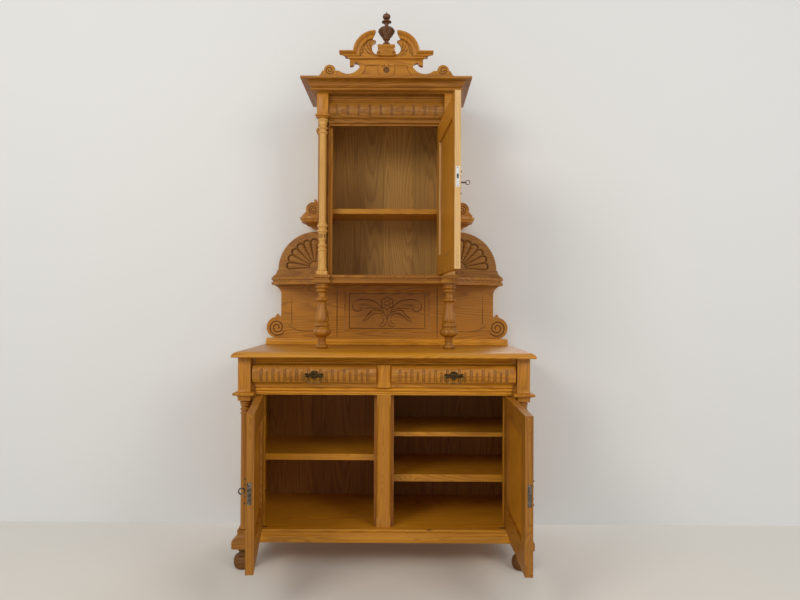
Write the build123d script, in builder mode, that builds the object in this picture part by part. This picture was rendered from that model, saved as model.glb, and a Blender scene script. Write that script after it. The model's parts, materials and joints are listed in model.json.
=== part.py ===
"""Two-stage pine buffet of about 1890, in millimetres.

A cupboard base with two drawers stands on bun feet. Two balusters carry a console board, and on it
a small cupboard with fluted frieze, cornice and a broken arched pediment. +Z is up, the front looks
towards -Y, and the origin is on the floor, below the face of the lower frame. The doors are drawn
as they stand open."""

import os
from math import cos, radians, sin, sqrt

from build123d import *

os.makedirs("parts", exist_ok=True)

# ---- Lower stage: carcase --------------------------------------------------------------------
case_half = 579.0  # half width over the side frames
case_depth = 471.0  # face of the front frame to the back
case_top = 840.0
member = 22.0  # thickness of frame members and boards
back_thick = 10.0
lower_planks = (-350.0, -175.0, 0.0, 175.0, 350.0)  # joints between the boards of the lower back
seam = 0.1  # hairline joint between two pieces of one frame
floor_top = 153.5
plinth_bottom = 98.0
plinth_proud = 15.0
side_panel = 10.0

worktop_thick = 23.0
worktop_side = 21.0  # overhang past the carcase
worktop_front = 74.0
worktop_slope = 22.0  # width of the moulded edge
worktop_tip = 5.0  # height of the tip over the underside

# ---- Lower stage: corner columns -------------------------------------------------------------
block = 50.0  # square blocks above and below the shaft
block_side = 2.0  # how far a block stands out past the side
block_front = 32.0  # and past the front frame
abacus = 84.0
base_bottom = 82.0
base_top = 116.0
shaft_bottom = 153.0
shaft_top = 666.0
neck_top = 679.0
abacus_bottom = 688.0
abacus_top = 701.0
tablet_raise = 7.0
rear_foot = 58.0

# ---- Lower stage: front frame, doors and drawers ---------------------------------------------
stile_show = 15.0  # frame stile between door and corner block
mullion_width = 56.0
stop_width = 46.0
stop_thick = 18.0
door_top_line = 687.5  # underside of the rail over the doors
drawer_floor = 718.5
drawer_ceiling = 808.5
rail_bead = 4.0

door_gap = 1.0  # beside a lower door
door_end_gap = 2.0  # over and under a door
door_thick = 27.5
door_inset = 12.0  # pivot axis behind the face and in from the edge
door_stile = 72.0
door_top_rail = 82.0
door_bottom_rail = 90.0
left_open = 81.2
right_open = 88.9

shelf_front = 95.0
left_shelf_top = 428.0
left_shelf_thick = 26.0
high_shelf_top = 521.0
high_shelf_thick = 18.0
low_shelf_top = 345.0
low_shelf_thick = 30.0
batten = 20.0

dust_board_top = 706.0
dust_board_thick = 10.0
drawer_gap = 0.3
drawer_lift = 3.5  # drawer side over the rail
drawer_side = 12.0
drawer_back_y = 420.0
drawer_front_end = 11.0  # how far the front laps past the opening
drawer_swell = 26.0  # depth of the swelling front
divider_half = 29.2
divider_wall = 18.0
handle_plate = (76.0, 34.0, 2.5)
handle_reach = 30.0  # post from the middle of the plate
handle_post = 3.8
handle_drop = 32.0

# ---- Gallery between the stages --------------------------------------------------------------
upper_column_x = 272.0
upper_column_y = 165.0
gallery_front = 450.0  # face of the shaped back board
gallery_half = 502.0
gallery_foot_half = 569.0
gallery_foot_height = 29.0
gallery_foot_deep = 29.0
gallery_volute = (521.0, 942.0, 50.0)
console_bottom = 1143.0
console_top = 1178.0
console_bead = 12.5
console_hollow = 6.0
console_wing_half = 546.0
console_wing_front = 300.0
console_wing_tip = 435.0
console_wing_swell = 25.0
console_corner = 75.0
console_front = 150.0

# ---- Upper cupboard --------------------------------------------------------------------------
upper_block = 48.0
upper_member = 20.0
upper_door_line = 1822.0  # underside of the frieze
upper_top = 1953.0
upper_frame_y = 172.0  # face of door and frieze
upper_gap = 1.5
upper_door_thick = 22.5
upper_door_inset = 11.0
upper_door_stile = 66.0
upper_rail = 80.0
upper_open = 94.2
upper_shelf_top = 1474.0
upper_shelf_front = 240.0
upper_abacus = 62.0
upper_cap = 1850.0  # underside of the blocks over the upper columns
upper_planks = (-160.0, -20.0, 120.0)  # joints between the boards of the upper back

# ---- Cornice and pediment --------------------------------------------------------------------
cornice_top = 2006.0
cornice_front = 80.0
cornice_half = 359.0
crown_front = 118.0
crown_thick = 22.0
crown_volute = (240.0, 2041.0, 25.0)
crown_end = 155.0
strip_bottom = 2087.0
strip_top = 2099.0
cap_top = 2119.0
cap_tip = 198.0
arch_centre = (45.0, 2108.5)
arch_outer = 96.0
arch_inner = 68.0
arch_lap = 3.0  # how far the arch laps over the board's edge
pedestal_half = 33.0
pedestal_cap = 4.0  # how far its top oversails
pedestal_bottom = strip_top
pedestal_top = 2145.0
scroll_radius = 9.0
scroll_long = 16.0
pedestal_front = 100.0
pedestal_back = 150.0
urn_y = 125.0
urn_top = 2294.0
ledge_top = 1456.0
ledge_reach = 107.0
ledge_front = 340.0
ledge_side = 375.0  # where its rounded front meets its end
ledge_layer = 12.0  # the ledge is two layers, the lower one drawn back
ledge_inset = 6.0
ledge_board = 20.0
crest_volute = (351.0, 1501.0, 32.0)
crest_knob = 6.5
ear_z = 1810.0
ear_radius = 21.0
ear_proud = 12.0
ear_thick = 18.0

# ---- Ironwork --------------------------------------------------------------------------------
pin_radius = 3.0
pin_fit = 0.05
pin_length = 10.0
leaf = (40.0, 14.0, 2.0)
lock_case = (42.0, 10.0)  # into the stile, thickness
lock_plate = (2.5, 14.0)
lock_lap = 2.0  # how far the plate reaches past the case above and below
lock_fit = 0.3
bolt_size = (30.0, 16.0, 7.4)
bolt_throw = 9.0
key_radius = 3.0
key_bit = 7.5
key_collar = (4.2, 2.5)
key_bow = (15.0, 12.0, 4.5)  # middle of the bow off the door's face, radius, wire
upper_key_bow = (30.5, 8.7, 2.5)
escutcheon_thick = 2.5
escutcheon_bosses = (  # height over the key, radius, how far out
    (-40.0, 3.5, 8.0),
    (-19.0, 4.0, 6.5),
    (22.0, 4.0, 6.5),
    (40.0, 3.5, 8.0),
)
lower_key_z = 425.0
upper_key_z = 1494.0
bolt_rise = key_bit + 2.0 + bolt_size[1] / 2  # bolt's middle over the key
strike = (2 * bolt_throw + 4.0, bolt_size[2] + 1.6, bolt_size[1] + 2.0)
chamfer_stop = 40.0
chamfer_run = 12.0
chamfer_wide = 6.0
stop_lap = 12.0
shell_arc = (334.0, 1214.0, 183.0)
recess_low = 932.0
recess_high = 1116.0
recess_half = 197.0
recess_deep = 6.0

# ---- Places that follow ----------------------------------------------------------------------
worktop_top = case_top + worktop_thick
column_x = case_half + block_side - block / 2
column_y = block / 2 - block_front
block_in = column_x - block / 2
block_back = column_y + block / 2
side_in = case_half - member
opening_half = block_in - stile_show
mullion_half = mullion_width / 2
back_in = case_depth - back_thick
door_width = opening_half - mullion_half - 2 * door_gap
door_bottom = floor_top + door_end_gap
door_height = door_top_line - door_end_gap - door_bottom
frame_deep = door_thick + 0.4  # stops stand just behind a closed door
post_back = frame_deep + stop_thick + 5.0
pivot_x = opening_half - door_gap - door_inset
dust_under = dust_board_top - dust_board_thick
drawer_inner = mullion_half + 5.0
drawer_outer = opening_half - 3.0
upper_shelf_under = upper_shelf_top - member

upper_half = upper_column_x + upper_block / 2
upper_block_in = upper_column_x - upper_block / 2
upper_block_back = upper_column_y + upper_block / 2
upper_in = upper_half - upper_member
upper_stile_back = upper_block_back + 24.0
upper_door_half = upper_block_in - 4.0
upper_opening = upper_door_half + upper_gap
upper_pivot_x = upper_door_half - upper_door_inset
upper_door_bottom = console_top + door_end_gap
upper_door_height = upper_door_line - door_end_gap - upper_door_bottom
leaf_shift = leaf[0] / 2 - leaf[1] / 2  # a leaf runs inwards from its pivot
lower_leaf_x = pivot_x - leaf_shift
upper_leaf_x = upper_pivot_x - leaf_shift


# ---- Ways of making --------------------------------------------------------------------------
def board(x_span, y_span, z_span, mode=Mode.ADD):
    """Squared timber between two side positions, two depths and two heights."""
    spans = (x_span, y_span, z_span)
    with Locations(tuple((low + high) / 2 for low, high in spans)):
        Box(*(abs(high - low) for low, high in spans), mode=mode)


def contour(*steps, outward=1):
    """Draw a line through steps of (across, up), or (across, up, swell) for an arc that swells to
    the right of its way, or hollows where swell is negative."""
    here = Vector(*steps[0][:2])
    for step in steps[1:]:
        there = Vector(*step[:2])
        if len(step) == 3:
            way = there - here
            aside = Vector(way.Y, -way.X).normalized() * step[2] * outward
            ThreePointArc(here, (here + there) / 2 + aside, there)
        else:
            Line(here, there)
        here = there


def turned(x, y, *steps):
    """Lathe work about an upright axis, from steps of (radius, height) or (radius, height, swell)."""
    foot, head = steps[0][1], steps[-1][1]
    with BuildPart() as piece:
        with BuildSketch(Plane(origin=(x, y, 0), x_dir=(1, 0, 0), z_dir=(0, -1, 0))):
            with BuildLine():
                contour((0, foot), *steps, (0, head), (0, foot))
            make_face()
        revolve(axis=Axis((x, y, 0), (0, 0, 1)))
    return piece.part


def squared(x, y, *steps):
    """Square block whose four sides share one moulded outline of (half width, height, swell)."""
    foot, head = steps[0][1], steps[-1][1]
    reach = max(step[0] for step in steps) + 1
    with BuildPart() as piece:
        with BuildSketch(Plane(origin=(x, y, 0), x_dir=(1, 0, 0), z_dir=(0, -1, 0))):
            with BuildLine():
                contour((0, foot), *steps, (0, head), (0, foot))
            make_face()
            mirror(about=Plane.YZ)
        extrude(amount=reach, both=True)
        with BuildSketch(Plane(origin=(x, y, 0), x_dir=(0, 1, 0), z_dir=(1, 0, 0))):
            with BuildLine():
                contour((0, foot), *steps, (0, head), (0, foot))
            make_face()
            mirror(about=Plane.YZ)
        extrude(amount=reach, both=True, mode=Mode.INTERSECT)
    return piece.part


def moulded_slab(half, front, back, *steps):
    """Slab whose front and side edges carry one moulding of (inset, height, swell), mitred."""
    foot, head = steps[0][1], steps[-1][1]
    with BuildPart() as slab:
        with BuildSketch(Plane.YZ):
            with BuildLine():
                face = [(front + step[0], *step[1:]) for step in steps]
                contour((back, foot), *face, (back, head), (back, foot), outward=-1)
            make_face()
        extrude(amount=half, both=True)
        with BuildSketch(Plane.XZ):
            with BuildLine():
                edge = [(half - step[0], *step[1:]) for step in steps]
                contour((0, foot), *edge, (0, head), (0, foot))
            make_face()
            mirror(about=Plane.YZ)
        extrude(amount=2 * back, both=True, mode=Mode.INTERSECT)
    return slab.part


def tablet(x, face, low, high, width, raised):
    """Raised lozenge on a block: a ridge along its middle with a hip at each end."""
    with BuildPart() as piece:
        with BuildSketch(Plane(origin=(x, face, low), x_dir=(1, 0, 0), z_dir=(0, 0, 1))):
            Polygon((-width / 2, 0), (0, -raised), (width / 2, 0), align=None)
        extrude(amount=high - low)
        with BuildSketch(Plane(origin=(x, face, 0), x_dir=(0, 1, 0), z_dir=(1, 0, 0))):
            hip = width / 2
            Polygon((0, low), (0, high), (-raised, high - hip), (-raised, low + hip), align=None)
        extrude(amount=width, both=True, mode=Mode.INTERSECT)
    return piece.part


def save(piece, name):
    """Label a finished piece and write its file."""
    piece.part.label = name
    export_step(piece.part, f"parts/{name}.step")


# ---- Feet and corner columns -----------------------------------------------------------------
with BuildPart() as feet:
    for side in (-1, 1):
        add(
            turned(
                side * column_x,
                column_y,
                (29, 0),
                (38, 8, 2),
                (38, 42, 4),
                (27, 52, 2),
                (21, 58, -2),
                (24, 68, -2),
                (25, 70),
                (25, base_bottom, 4),
            )
        )
        board(
            (side * (case_half - rear_foot), side * case_half),
            (case_depth - rear_foot, case_depth),
            (0, plinth_bottom),
        )
save(feet, "feet")

with BuildPart() as lower_columns:
    for side in (-1, 1):
        foot = (
            (abacus / 2 - 3, base_bottom),
            (abacus / 2, base_bottom + 4, 1),
            (abacus / 2, base_top - 4),
            (abacus / 2 - 4, base_top, 1),
            (abacus / 2 - 6, base_top + 2),
            (block / 2 - 1, shaft_bottom - 6, -6),
            (block / 2 - 1, shaft_bottom),
        )
        add(squared(side * column_x, column_y, *foot))
        board(
            (0, side * block_in),
            (0, case_depth),
            (base_top, shaft_bottom),
            mode=Mode.SUBTRACT,
        )
        board(
            (0, side * 2 * case_half),
            (block_back, case_depth),
            (base_top, shaft_bottom),
            mode=Mode.SUBTRACT,
        )
    for side in (-1, 1):
        add(
            turned(
                side * column_x,
                column_y,
                (19, shaft_bottom + seam),
                (19, shaft_bottom + 9, 2.5),
                (16.5, shaft_bottom + 12),
                (16.5, shaft_top - 58),
                (18, shaft_top - 55),
                (18, shaft_top - 48, 2),
                (15.5, shaft_top - 44, -1),
                (15.5, shaft_top - 41),
                (18.5, shaft_top - 39),
                (18.5, shaft_top - 32, 2),
                (15, shaft_top - 26, -1),
                (17, shaft_top - 22),
                (18, shaft_top - 15, 2),
                (19, shaft_top - 12),
                (19, shaft_top - 5, 2.5),
                (17, shaft_top - 2),
                (17, shaft_top - seam),
            )
        )
save(lower_columns, "lower_columns")

with BuildPart() as corner_blocks:
    for side in (-1, 1):
        cap = (
            (block / 2, shaft_top),
            (block / 2, neck_top),
            (abacus / 2 - 2, abacus_bottom, -3),
            (abacus / 2, abacus_bottom + 1),
            (abacus / 2, abacus_top - 5),
            (abacus / 2 - 3, abacus_top - 2, 1),
            (block / 2 + 2, abacus_top),
            (block / 2, abacus_top + 3),
            (block / 2, case_top),
        )
        add(squared(side * column_x, column_y, *cap))
        board(
            (0, side * block_in),
            (0, case_depth),
            (shaft_top, case_top),
            mode=Mode.SUBTRACT,
        )
        board(
            (0, side * 2 * case_half),
            (block_back, case_depth),
            (shaft_top, case_top),
            mode=Mode.SUBTRACT,
        )
        add(
            tablet(
                side * column_x,
                -block_front,
                abacus_top + 12,
                case_top - 12,
                block - 16,
                tablet_raise,
            )
        )
save(corner_blocks, "corner_blocks")

# ---- Carcase ---------------------------------------------------------------------------------
with BuildPart() as lower_sides:
    rear_stile = case_depth - 60.0
    for side in (-1, 1):
        outer = side * case_half
        inner = side * side_in
        board((side * block_in, outer), (block_back, post_back), (base_top, case_top))
        board((inner, outer), (rear_stile, case_depth), (plinth_bottom, case_top))
        reach = (post_back + seam, rear_stile - seam)
        board((inner, outer), reach, (plinth_bottom, plinth_bottom + 90))
        board((inner, outer), reach, (case_top - 80, case_top))
        panel_low, panel_high = plinth_bottom + 90 + seam, case_top - 80 - seam
        middle = side * (side_in + 7)
        board((middle, middle + side * side_panel), reach, (panel_low, panel_high))
save(lower_sides, "lower_sides")

with BuildPart() as lower_back:
    joints = (-side_in + seam, *lower_planks, side_in)
    for start, end in zip(joints, joints[1:]):
        board((start, end - seam), (back_in, case_depth), (plinth_bottom, case_top))
save(lower_back, "lower_back")

with BuildPart() as bottom_board:
    board((-block_in, block_in), (0, back_in), (floor_top - member, floor_top))
    board((-side_in, side_in), (post_back, back_in), (floor_top - member, floor_top))
    for side in (-1, 1):
        with Locations((side * lower_leaf_x, door_inset, floor_top - leaf[2] / 2)):
            Box(*leaf, mode=Mode.SUBTRACT)
save(bottom_board, "bottom_board")

with BuildPart() as plinth:
    with BuildSketch(Plane.YZ):
        with BuildLine():
            contour(
                (member, plinth_bottom),
                (-plinth_proud + 3, plinth_bottom),
                (-plinth_proud, plinth_bottom + 3),
                (-plinth_proud, plinth_bottom + 28),
                (-plinth_proud + 3, plinth_bottom + 30),
                (-plinth_proud + 5, plinth_bottom + 42, -2),
                (-plinth_proud + 2, plinth_bottom + 45),
                (-plinth_proud + 2, floor_top, 4),
                (0, floor_top),
                (0, floor_top - member),
                (member, floor_top - member),
                (member, plinth_bottom),
                outward=-1,
            )
        make_face()
    extrude(amount=column_x - abacus / 2, both=True)
save(plinth, "plinth")

with BuildPart() as front_frame:
    for side in (-1, 1):
        board(
            (side * opening_half, side * block_in),
            (0, frame_deep),
            (floor_top, case_top),
        )
        board(
            (side * block_in, side * (block_in - stop_width)),
            (frame_deep + 5.0, frame_deep + 5.0 + stop_thick),
            (floor_top, dust_board_top - dust_board_thick),
        )
save(front_frame, "front_frame")

with BuildPart() as mullion:
    board((-mullion_half, mullion_half), (0, frame_deep), (floor_top, door_top_line))
    with Locations(
        (-mullion_half, door_inset, lower_key_z + bolt_rise),
        (mullion_half, door_inset, lower_key_z + bolt_rise),
    ):
        Box(*strike, mode=Mode.SUBTRACT)
    for side in (-1, 1):
        stops = (
            (floor_top + chamfer_stop, 0.2),
            (floor_top + chamfer_stop + chamfer_run, chamfer_wide),
            (door_top_line - chamfer_stop - chamfer_run, chamfer_wide),
            (door_top_line - chamfer_stop, 0.2),
        )
        for height, wide in stops:
            with BuildSketch(Plane(origin=(side * mullion_half, 0, height), z_dir=(0, 0, 1))):
                Polygon((side, -1), (-side * (wide + 1), -1), (side, wide + 1), align=None)
        loft(ruled=True, mode=Mode.SUBTRACT)
save(mullion, "mullion")

with BuildPart() as partition:
    board((-divider_wall / 2, divider_wall / 2), (frame_deep, back_in), (floor_top, dust_under))
    for side in (-1, 1):
        edge = side * (divider_wall / 2 + seam)
        stop = side * (mullion_half + stop_lap)
        board((edge, stop), (frame_deep, frame_deep + stop_thick), (floor_top, dust_under))
save(partition, "partition")

with BuildPart() as drawer_frame:
    rail_span = opening_half - seam
    with BuildSketch(Plane.YZ):
        with BuildLine():
            contour(
                (member, door_top_line),
                (0, door_top_line),
                (0, door_top_line + 5),
                (0, door_top_line + 5 + 2 * rail_bead, rail_bead),
                (-3, door_top_line + 15, -1),
                (-3, door_top_line + 17),
                (-3, door_top_line + 17 + 2 * rail_bead, rail_bead),
                (0, drawer_floor - 2),
                (0, drawer_floor),
                (member, drawer_floor),
                (member, door_top_line),
                outward=-1,
            )
        make_face()
    extrude(amount=rail_span, both=True)
    with BuildSketch(Plane.YZ):
        with BuildLine():
            contour(
                (member, drawer_ceiling),
                (0, drawer_ceiling),
                (0, drawer_ceiling + 4),
                (0, drawer_ceiling + 4 + 2 * rail_bead, rail_bead),
                (0, case_top),
                (member, case_top),
                (member, drawer_ceiling),
                outward=-1,
            )
        make_face()
    extrude(amount=rail_span, both=True)
    for side in (-1, 1):
        with Locations((side * lower_leaf_x, door_inset, door_top_line + leaf[2] / 2)):
            Box(*leaf, mode=Mode.SUBTRACT)
        beside = (side * (column_x - abacus / 2 - seam), side * (opening_half + 1))
        board(beside, (-abacus, 0), (shaft_top, abacus_top + 4), mode=Mode.SUBTRACT)
    with BuildSketch(Plane.XY.offset(drawer_floor + seam)):
        with BuildLine():
            contour(
                (-divider_half, member),
                (-divider_half, -8),
                (-divider_half * 0.6, -14, -2),
                (0, -18, -3),
                (divider_half * 0.6, -14, -3),
                (divider_half, -8, -2),
                (divider_half, member),
                (-divider_half, member),
                outward=-1,
            )
        make_face()
    extrude(amount=drawer_ceiling - drawer_floor - 2 * seam)
    wall = divider_wall / 2
    board((-wall, wall), (member + seam, back_in), (dust_board_top, case_top))
save(drawer_frame, "drawer_frame")

with BuildPart() as dust_board:
    level = (dust_under, dust_board_top)
    board((-block_in, block_in), (frame_deep, back_in), level)
    board((-side_in, side_in), (post_back, back_in), level)
    runner_top = drawer_floor + drawer_lift - drawer_gap
    for side in (-1, 1):
        inner = (side * (wall + seam), side * (drawer_inner + drawer_side + 6))
        outer = (side * (drawer_outer - drawer_side - 6), side * (opening_half - seam))
        for span in (inner, outer):
            board(span, (frame_deep, drawer_back_y), (dust_board_top + seam, runner_top))
        guide = (side * (drawer_outer + 2 * drawer_gap), side * (side_in - seam))
        board(guide, (post_back, drawer_back_y), (runner_top + seam, runner_top + batten))
save(dust_board, "dust_board")

with BuildPart() as worktop:
    add(
        moulded_slab(
            case_half + worktop_side,
            -worktop_front,
            case_depth,
            (5, case_top),
            (0, case_top + worktop_tip, 1),
            (worktop_slope, worktop_top, 4),
        )
    )
save(worktop, "worktop")

# ---- Shelves ---------------------------------------------------------------------------------
shelf_inner = divider_wall / 2 + 0.5
shelf_outer = side_in - 0.5
shelf_back = back_in - 1.0
with BuildPart() as lower_shelves:
    for side, top, thick in (
        (-1, left_shelf_top, left_shelf_thick),
        (1, high_shelf_top, high_shelf_thick),
        (1, low_shelf_top, low_shelf_thick),
    ):
        span = (side * shelf_inner, side * shelf_outer)
        board(span, (shelf_front, shelf_back), (top - thick, top))
save(lower_shelves, "lower_shelves")

with BuildPart() as shelf_battens:
    for side, top in (
        (-1, left_shelf_top - left_shelf_thick),
        (1, high_shelf_top - high_shelf_thick),
        (1, low_shelf_top - low_shelf_thick),
    ):
        level = (top - batten, top)
        run = (shelf_front + 5, shelf_back - 5)
        board((side * divider_wall / 2, side * (divider_wall / 2 + batten)), run, level)
        board((side * (side_in - batten), side * side_in), run, level)
    level = (upper_shelf_under - batten, upper_shelf_under)
    for side in (-1, 1):
        run = (upper_shelf_front + 5, back_in - 5)
        board((side * (upper_in - batten), side * upper_in), run, level)
save(shelf_battens, "shelf_battens")


# ---- Doors -----------------------------------------------------------------------------------
def slab(face, across, upright, deep, mode=Mode.ADD):
    """Board squared to a door: its spans run across, upright and out of the door's pivot plane."""
    spans = (across, upright, deep)
    centre = Pos(*((low + high) / 2 for low, high in spans))
    with Locations(face.location * centre):
        Box(*(abs(high - low) for low, high in spans), mode=mode)


def keyhole(grow=0.0):
    """Round hole with a slot for the bit below it, drawn at the key's axis."""
    Circle(key_radius + 0.8 + grow)
    with Locations((0, -(key_bit + 0.5) / 2)):
        Rectangle(4.4 + 2 * grow, key_bit + 0.5 + 2 * grow)


def hung_door(name, hand, pivot, swing, size, stile, rails, tenons, key_z, plate_span, bow):
    """Framed door on knife pivots. hand is 1 where it hangs by its left edge and -1 by its right.
    size is (width, height, thickness, pivot inset, lowest edge); rails and tenons are (top,
    bottom); plate_span is the (low, high) of the lock's face plate; bow is the key's, or None."""
    width, height, thick, inset, low = size
    turn = radians(swing)
    out = (sin(turn), -cos(turn), 0)
    face = Plane(origin=(*pivot, 0), x_dir=(cos(turn), sin(turn), 0), z_dir=out)
    front, rear, free = inset, inset - thick, width - inset
    high = low + height
    inner, outer = stile - inset, free - stile
    groove = 7.0
    tongue = (front - thick * 0.66, front - thick * 0.36)
    key_s = free - 28.0
    bolt_low = key_z + bolt_rise - bolt_size[1] / 2

    def span(start, end):
        return hand * start, hand * end

    with BuildPart() as frame:
        with BuildSketch(Plane(origin=(*pivot, low), x_dir=face.x_dir, z_dir=(0, 0, 1))):
            with BuildLine():
                contour(
                    (hand * inner, -rear),
                    (-hand * inset, -rear),
                    (-hand * inset, 0),
                    (0, -front, inset * (1 - sqrt(0.5))),
                    (hand * inner, -front),
                    (hand * inner, -rear),
                    outward=-hand,
                )
            make_face()
        extrude(amount=height)
        slab(face, span(outer, free), (low, high), (rear, front))
        tenon = (front - thick * 0.68, front - thick * 0.34)
        for (start, end), (shoulder_low, shoulder_high) in zip(
            tenons, ((high - rails[0], high), (low, low + rails[1]))
        ):
            mortise = (start - seam, end + seam)
            cheek = (tenon[0] - seam, tenon[1] + seam)
            slab(face, span(outer - 1, free + 1), mortise, cheek, mode=Mode.SUBTRACT)
            slab(face, span(inner - 30, inner + 1), mortise, cheek, mode=Mode.SUBTRACT)
            slab(
                face,
                span(inner + seam, outer - seam),
                (shoulder_low, shoulder_high),
                (rear, front),
            )
            slab(face, span(inner - 30 + seam, inner + seam), (start, end), tenon)
            slab(face, span(outer - seam, free), (start, end), tenon)
        slab(
            face,
            span(inner - groove, outer + groove),
            (low + rails[1] - groove, high - rails[0] + groove),
            tongue,
            mode=Mode.SUBTRACT,
        )
        case = (plate_span[0] + lock_lap, plate_span[1] - lock_lap)
        depth = (-lock_case[1] / 2 - lock_fit, lock_case[1] / 2 + lock_fit)
        slab(
            face,
            span(free - lock_case[0] - lock_fit, free + 1),
            (case[0] - lock_fit, case[1] + lock_fit),
            depth,
            mode=Mode.SUBTRACT,
        )
        edge = span(free - lock_plate[0] - seam, free + 1)
        plate_deep = (-lock_plate[1] / 2 - seam, lock_plate[1] / 2 + seam)
        plate_high = (plate_span[0] - seam, plate_span[1] + seam)
        slab(face, edge, plate_high, plate_deep, mode=Mode.SUBTRACT)
        with BuildSketch(
            Plane(origin=face.from_local_coords((hand * key_s, key_z, 0)), x_dir=face.x_dir, z_dir=out)
        ):
            keyhole()
        extrude(amount=front + 1, mode=Mode.SUBTRACT)
        for level in (low, high):
            inward = 1 if level == low else -1
            slab(
                face,
                span(-leaf[1] / 2, leaf[0] - leaf[1] / 2),
                (level, level + inward * leaf[2]),
                (-leaf[1] / 2, leaf[1] / 2),
                mode=Mode.SUBTRACT,
            )
            with BuildSketch(Plane(origin=(*pivot, level), z_dir=(0, 0, inward))):
                Circle(pin_radius + lock_fit)
            extrude(amount=pin_length + 1, mode=Mode.SUBTRACT)
    save(frame, f"{name}_frame")

    with BuildPart() as panel:
        fit = 0.1
        slab(
            face,
            span(inner - groove + 1, outer + groove - 1),
            (low + rails[1] - groove + 1, high - rails[0] + groove - 1),
            (tongue[0] + fit, tongue[1] - fit),
        )
        field = ((inner + outer) / 2 * hand, (low + rails[1] + high - rails[0]) / 2)
        clear = (outer - inner - 2.0, height - rails[0] - rails[1] - 2.0)
        for offset, margin in ((tongue[1] - fit, 0.0), (front - 3.0, 34.0)):
            with BuildSketch(face.offset(offset)):
                with Locations(field):
                    Rectangle(clear[0] - 2 * margin, clear[1] - 2 * margin)
        loft()
    save(panel, f"{name}_panel")

    with BuildPart() as irons:
        slab(
            face,
            span(free - lock_case[0], free - lock_plate[0]),
            case,
            (-lock_case[1] / 2, lock_case[1] / 2),
        )
        slab(
            face,
            span(free - lock_plate[0], free),
            plate_span,
            (-lock_plate[1] / 2, lock_plate[1] / 2),
        )
        slab(
            face,
            span(free - bolt_size[0] - lock_fit, free + 1),
            (bolt_low - lock_fit, bolt_low + bolt_size[1] + lock_fit),
            (-bolt_size[2] / 2 - lock_fit, bolt_size[2] / 2 + lock_fit),
            mode=Mode.SUBTRACT,
        )
        centre = face.from_local_coords((hand * key_s, key_z, 0))
        with BuildSketch(Plane(origin=centre, x_dir=face.x_dir, z_dir=out)):
            Circle(key_bit + 1)
        extrude(amount=lock_case[1] / 2 - 1, both=True, mode=Mode.SUBTRACT)
        with BuildSketch(Plane(origin=centre, x_dir=face.x_dir, z_dir=out)):
            keyhole()
        extrude(amount=lock_case[1], mode=Mode.SUBTRACT)
        for level in (low, high):
            inward = 1 if level == low else -1
            slab(
                face,
                span(-leaf[1] / 2 + seam, leaf[0] - leaf[1] / 2 - seam),
                (level, level + inward * (leaf[2] - seam)),
                (-leaf[1] / 2 + seam, leaf[1] / 2 - seam),
            )
            with BuildSketch(Plane(origin=(*pivot, level - inward), z_dir=(0, 0, inward))):
                Circle(pin_radius + pin_fit)
            extrude(amount=leaf[2] + 2, mode=Mode.SUBTRACT)
    save(irons, f"{name}_lock")

    with BuildPart() as bolt:
        slab(
            face,
            span(free - bolt_size[0], free),
            (bolt_low, bolt_low + bolt_size[1]),
            (-bolt_size[2] / 2, bolt_size[2] / 2),
        )
    save(bolt, f"{name}_bolt")

    shield = Plane(
        origin=face.from_local_coords((hand * key_s, key_z, front)), x_dir=face.x_dir, z_dir=out
    )
    with BuildPart() as escutcheon:
        with BuildSketch(shield):
            with BuildLine():
                contour(
                    (0, -46),
                    (7, -38, 1),
                    (5, -30, -2),
                    (14, -16, -2),
                    (10, -6, 3),
                    (10, 10, -2),
                    (15, 20, 3),
                    (6, 32, -2),
                    (8, 38, 1),
                    (0, 47, 2),
                    (0, -46),
                )
            make_face()
            mirror(about=Plane.YZ)
            with BuildSketch(mode=Mode.SUBTRACT):
                keyhole()
        extrude(amount=escutcheon_thick)
        for rise, radius, proud in escutcheon_bosses:
            with BuildSketch(shield):
                with Locations((0, rise)):
                    Circle(radius)
            extrude(amount=proud - radius)
            with Locations(shield.location * Pos(0, rise, proud - radius)):
                Sphere(radius, arc_size1=0, align=(Align.CENTER, Align.CENTER, Align.MIN))
    save(escutcheon, f"{name}_escutcheon")

    if bow:
        bow_out, bow_radius, wire = bow
        key_end = lock_case[1] / 2 - 1.5
        with BuildPart() as key_piece:
            with BuildSketch(shield.offset(-front - key_end)):
                Circle(key_radius)
            extrude(amount=front + key_end + bow_out - bow_radius + wire / 2)
            with BuildSketch(shield.offset(bow_out - bow_radius + 0.4)):
                Circle(key_collar[0])
            extrude(amount=key_collar[1])
            slab(
                face,
                (hand * key_s - 1.6, hand * key_s + 1.6),
                (key_z - key_bit, key_z - key_radius + 1),
                (0.1 - key_end, key_end - 0.1),
            )
            ring = Plane(
                origin=face.from_local_coords((hand * key_s, key_z, front + bow_out)),
                x_dir=out,
                z_dir=face.x_dir,
            )
            with BuildSketch(ring):
                Ellipse(bow_radius, bow_radius + 0.5)
                Ellipse(bow_radius - wire, bow_radius + 0.5 - wire, mode=Mode.SUBTRACT)
            extrude(amount=1.8, both=True)
        save(key_piece, f"{name}_key")


for name, hand, swing in (("left_door", 1, -left_open), ("right_door", -1, right_open)):
    hung_door(
        name,
        hand,
        (-hand * pivot_x, door_inset),
        swing,
        (door_width, door_height, door_thick, door_inset, door_bottom),
        door_stile,
        (door_top_rail, door_bottom_rail),
        (
            (door_bottom + door_height - door_top_rail, door_bottom + door_height),
            (door_bottom, door_bottom + door_bottom_rail),
        ),
        lower_key_z,
        (lower_key_z - 39, lower_key_z + 35),
        key_bow if hand == 1 else None,
    )

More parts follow.
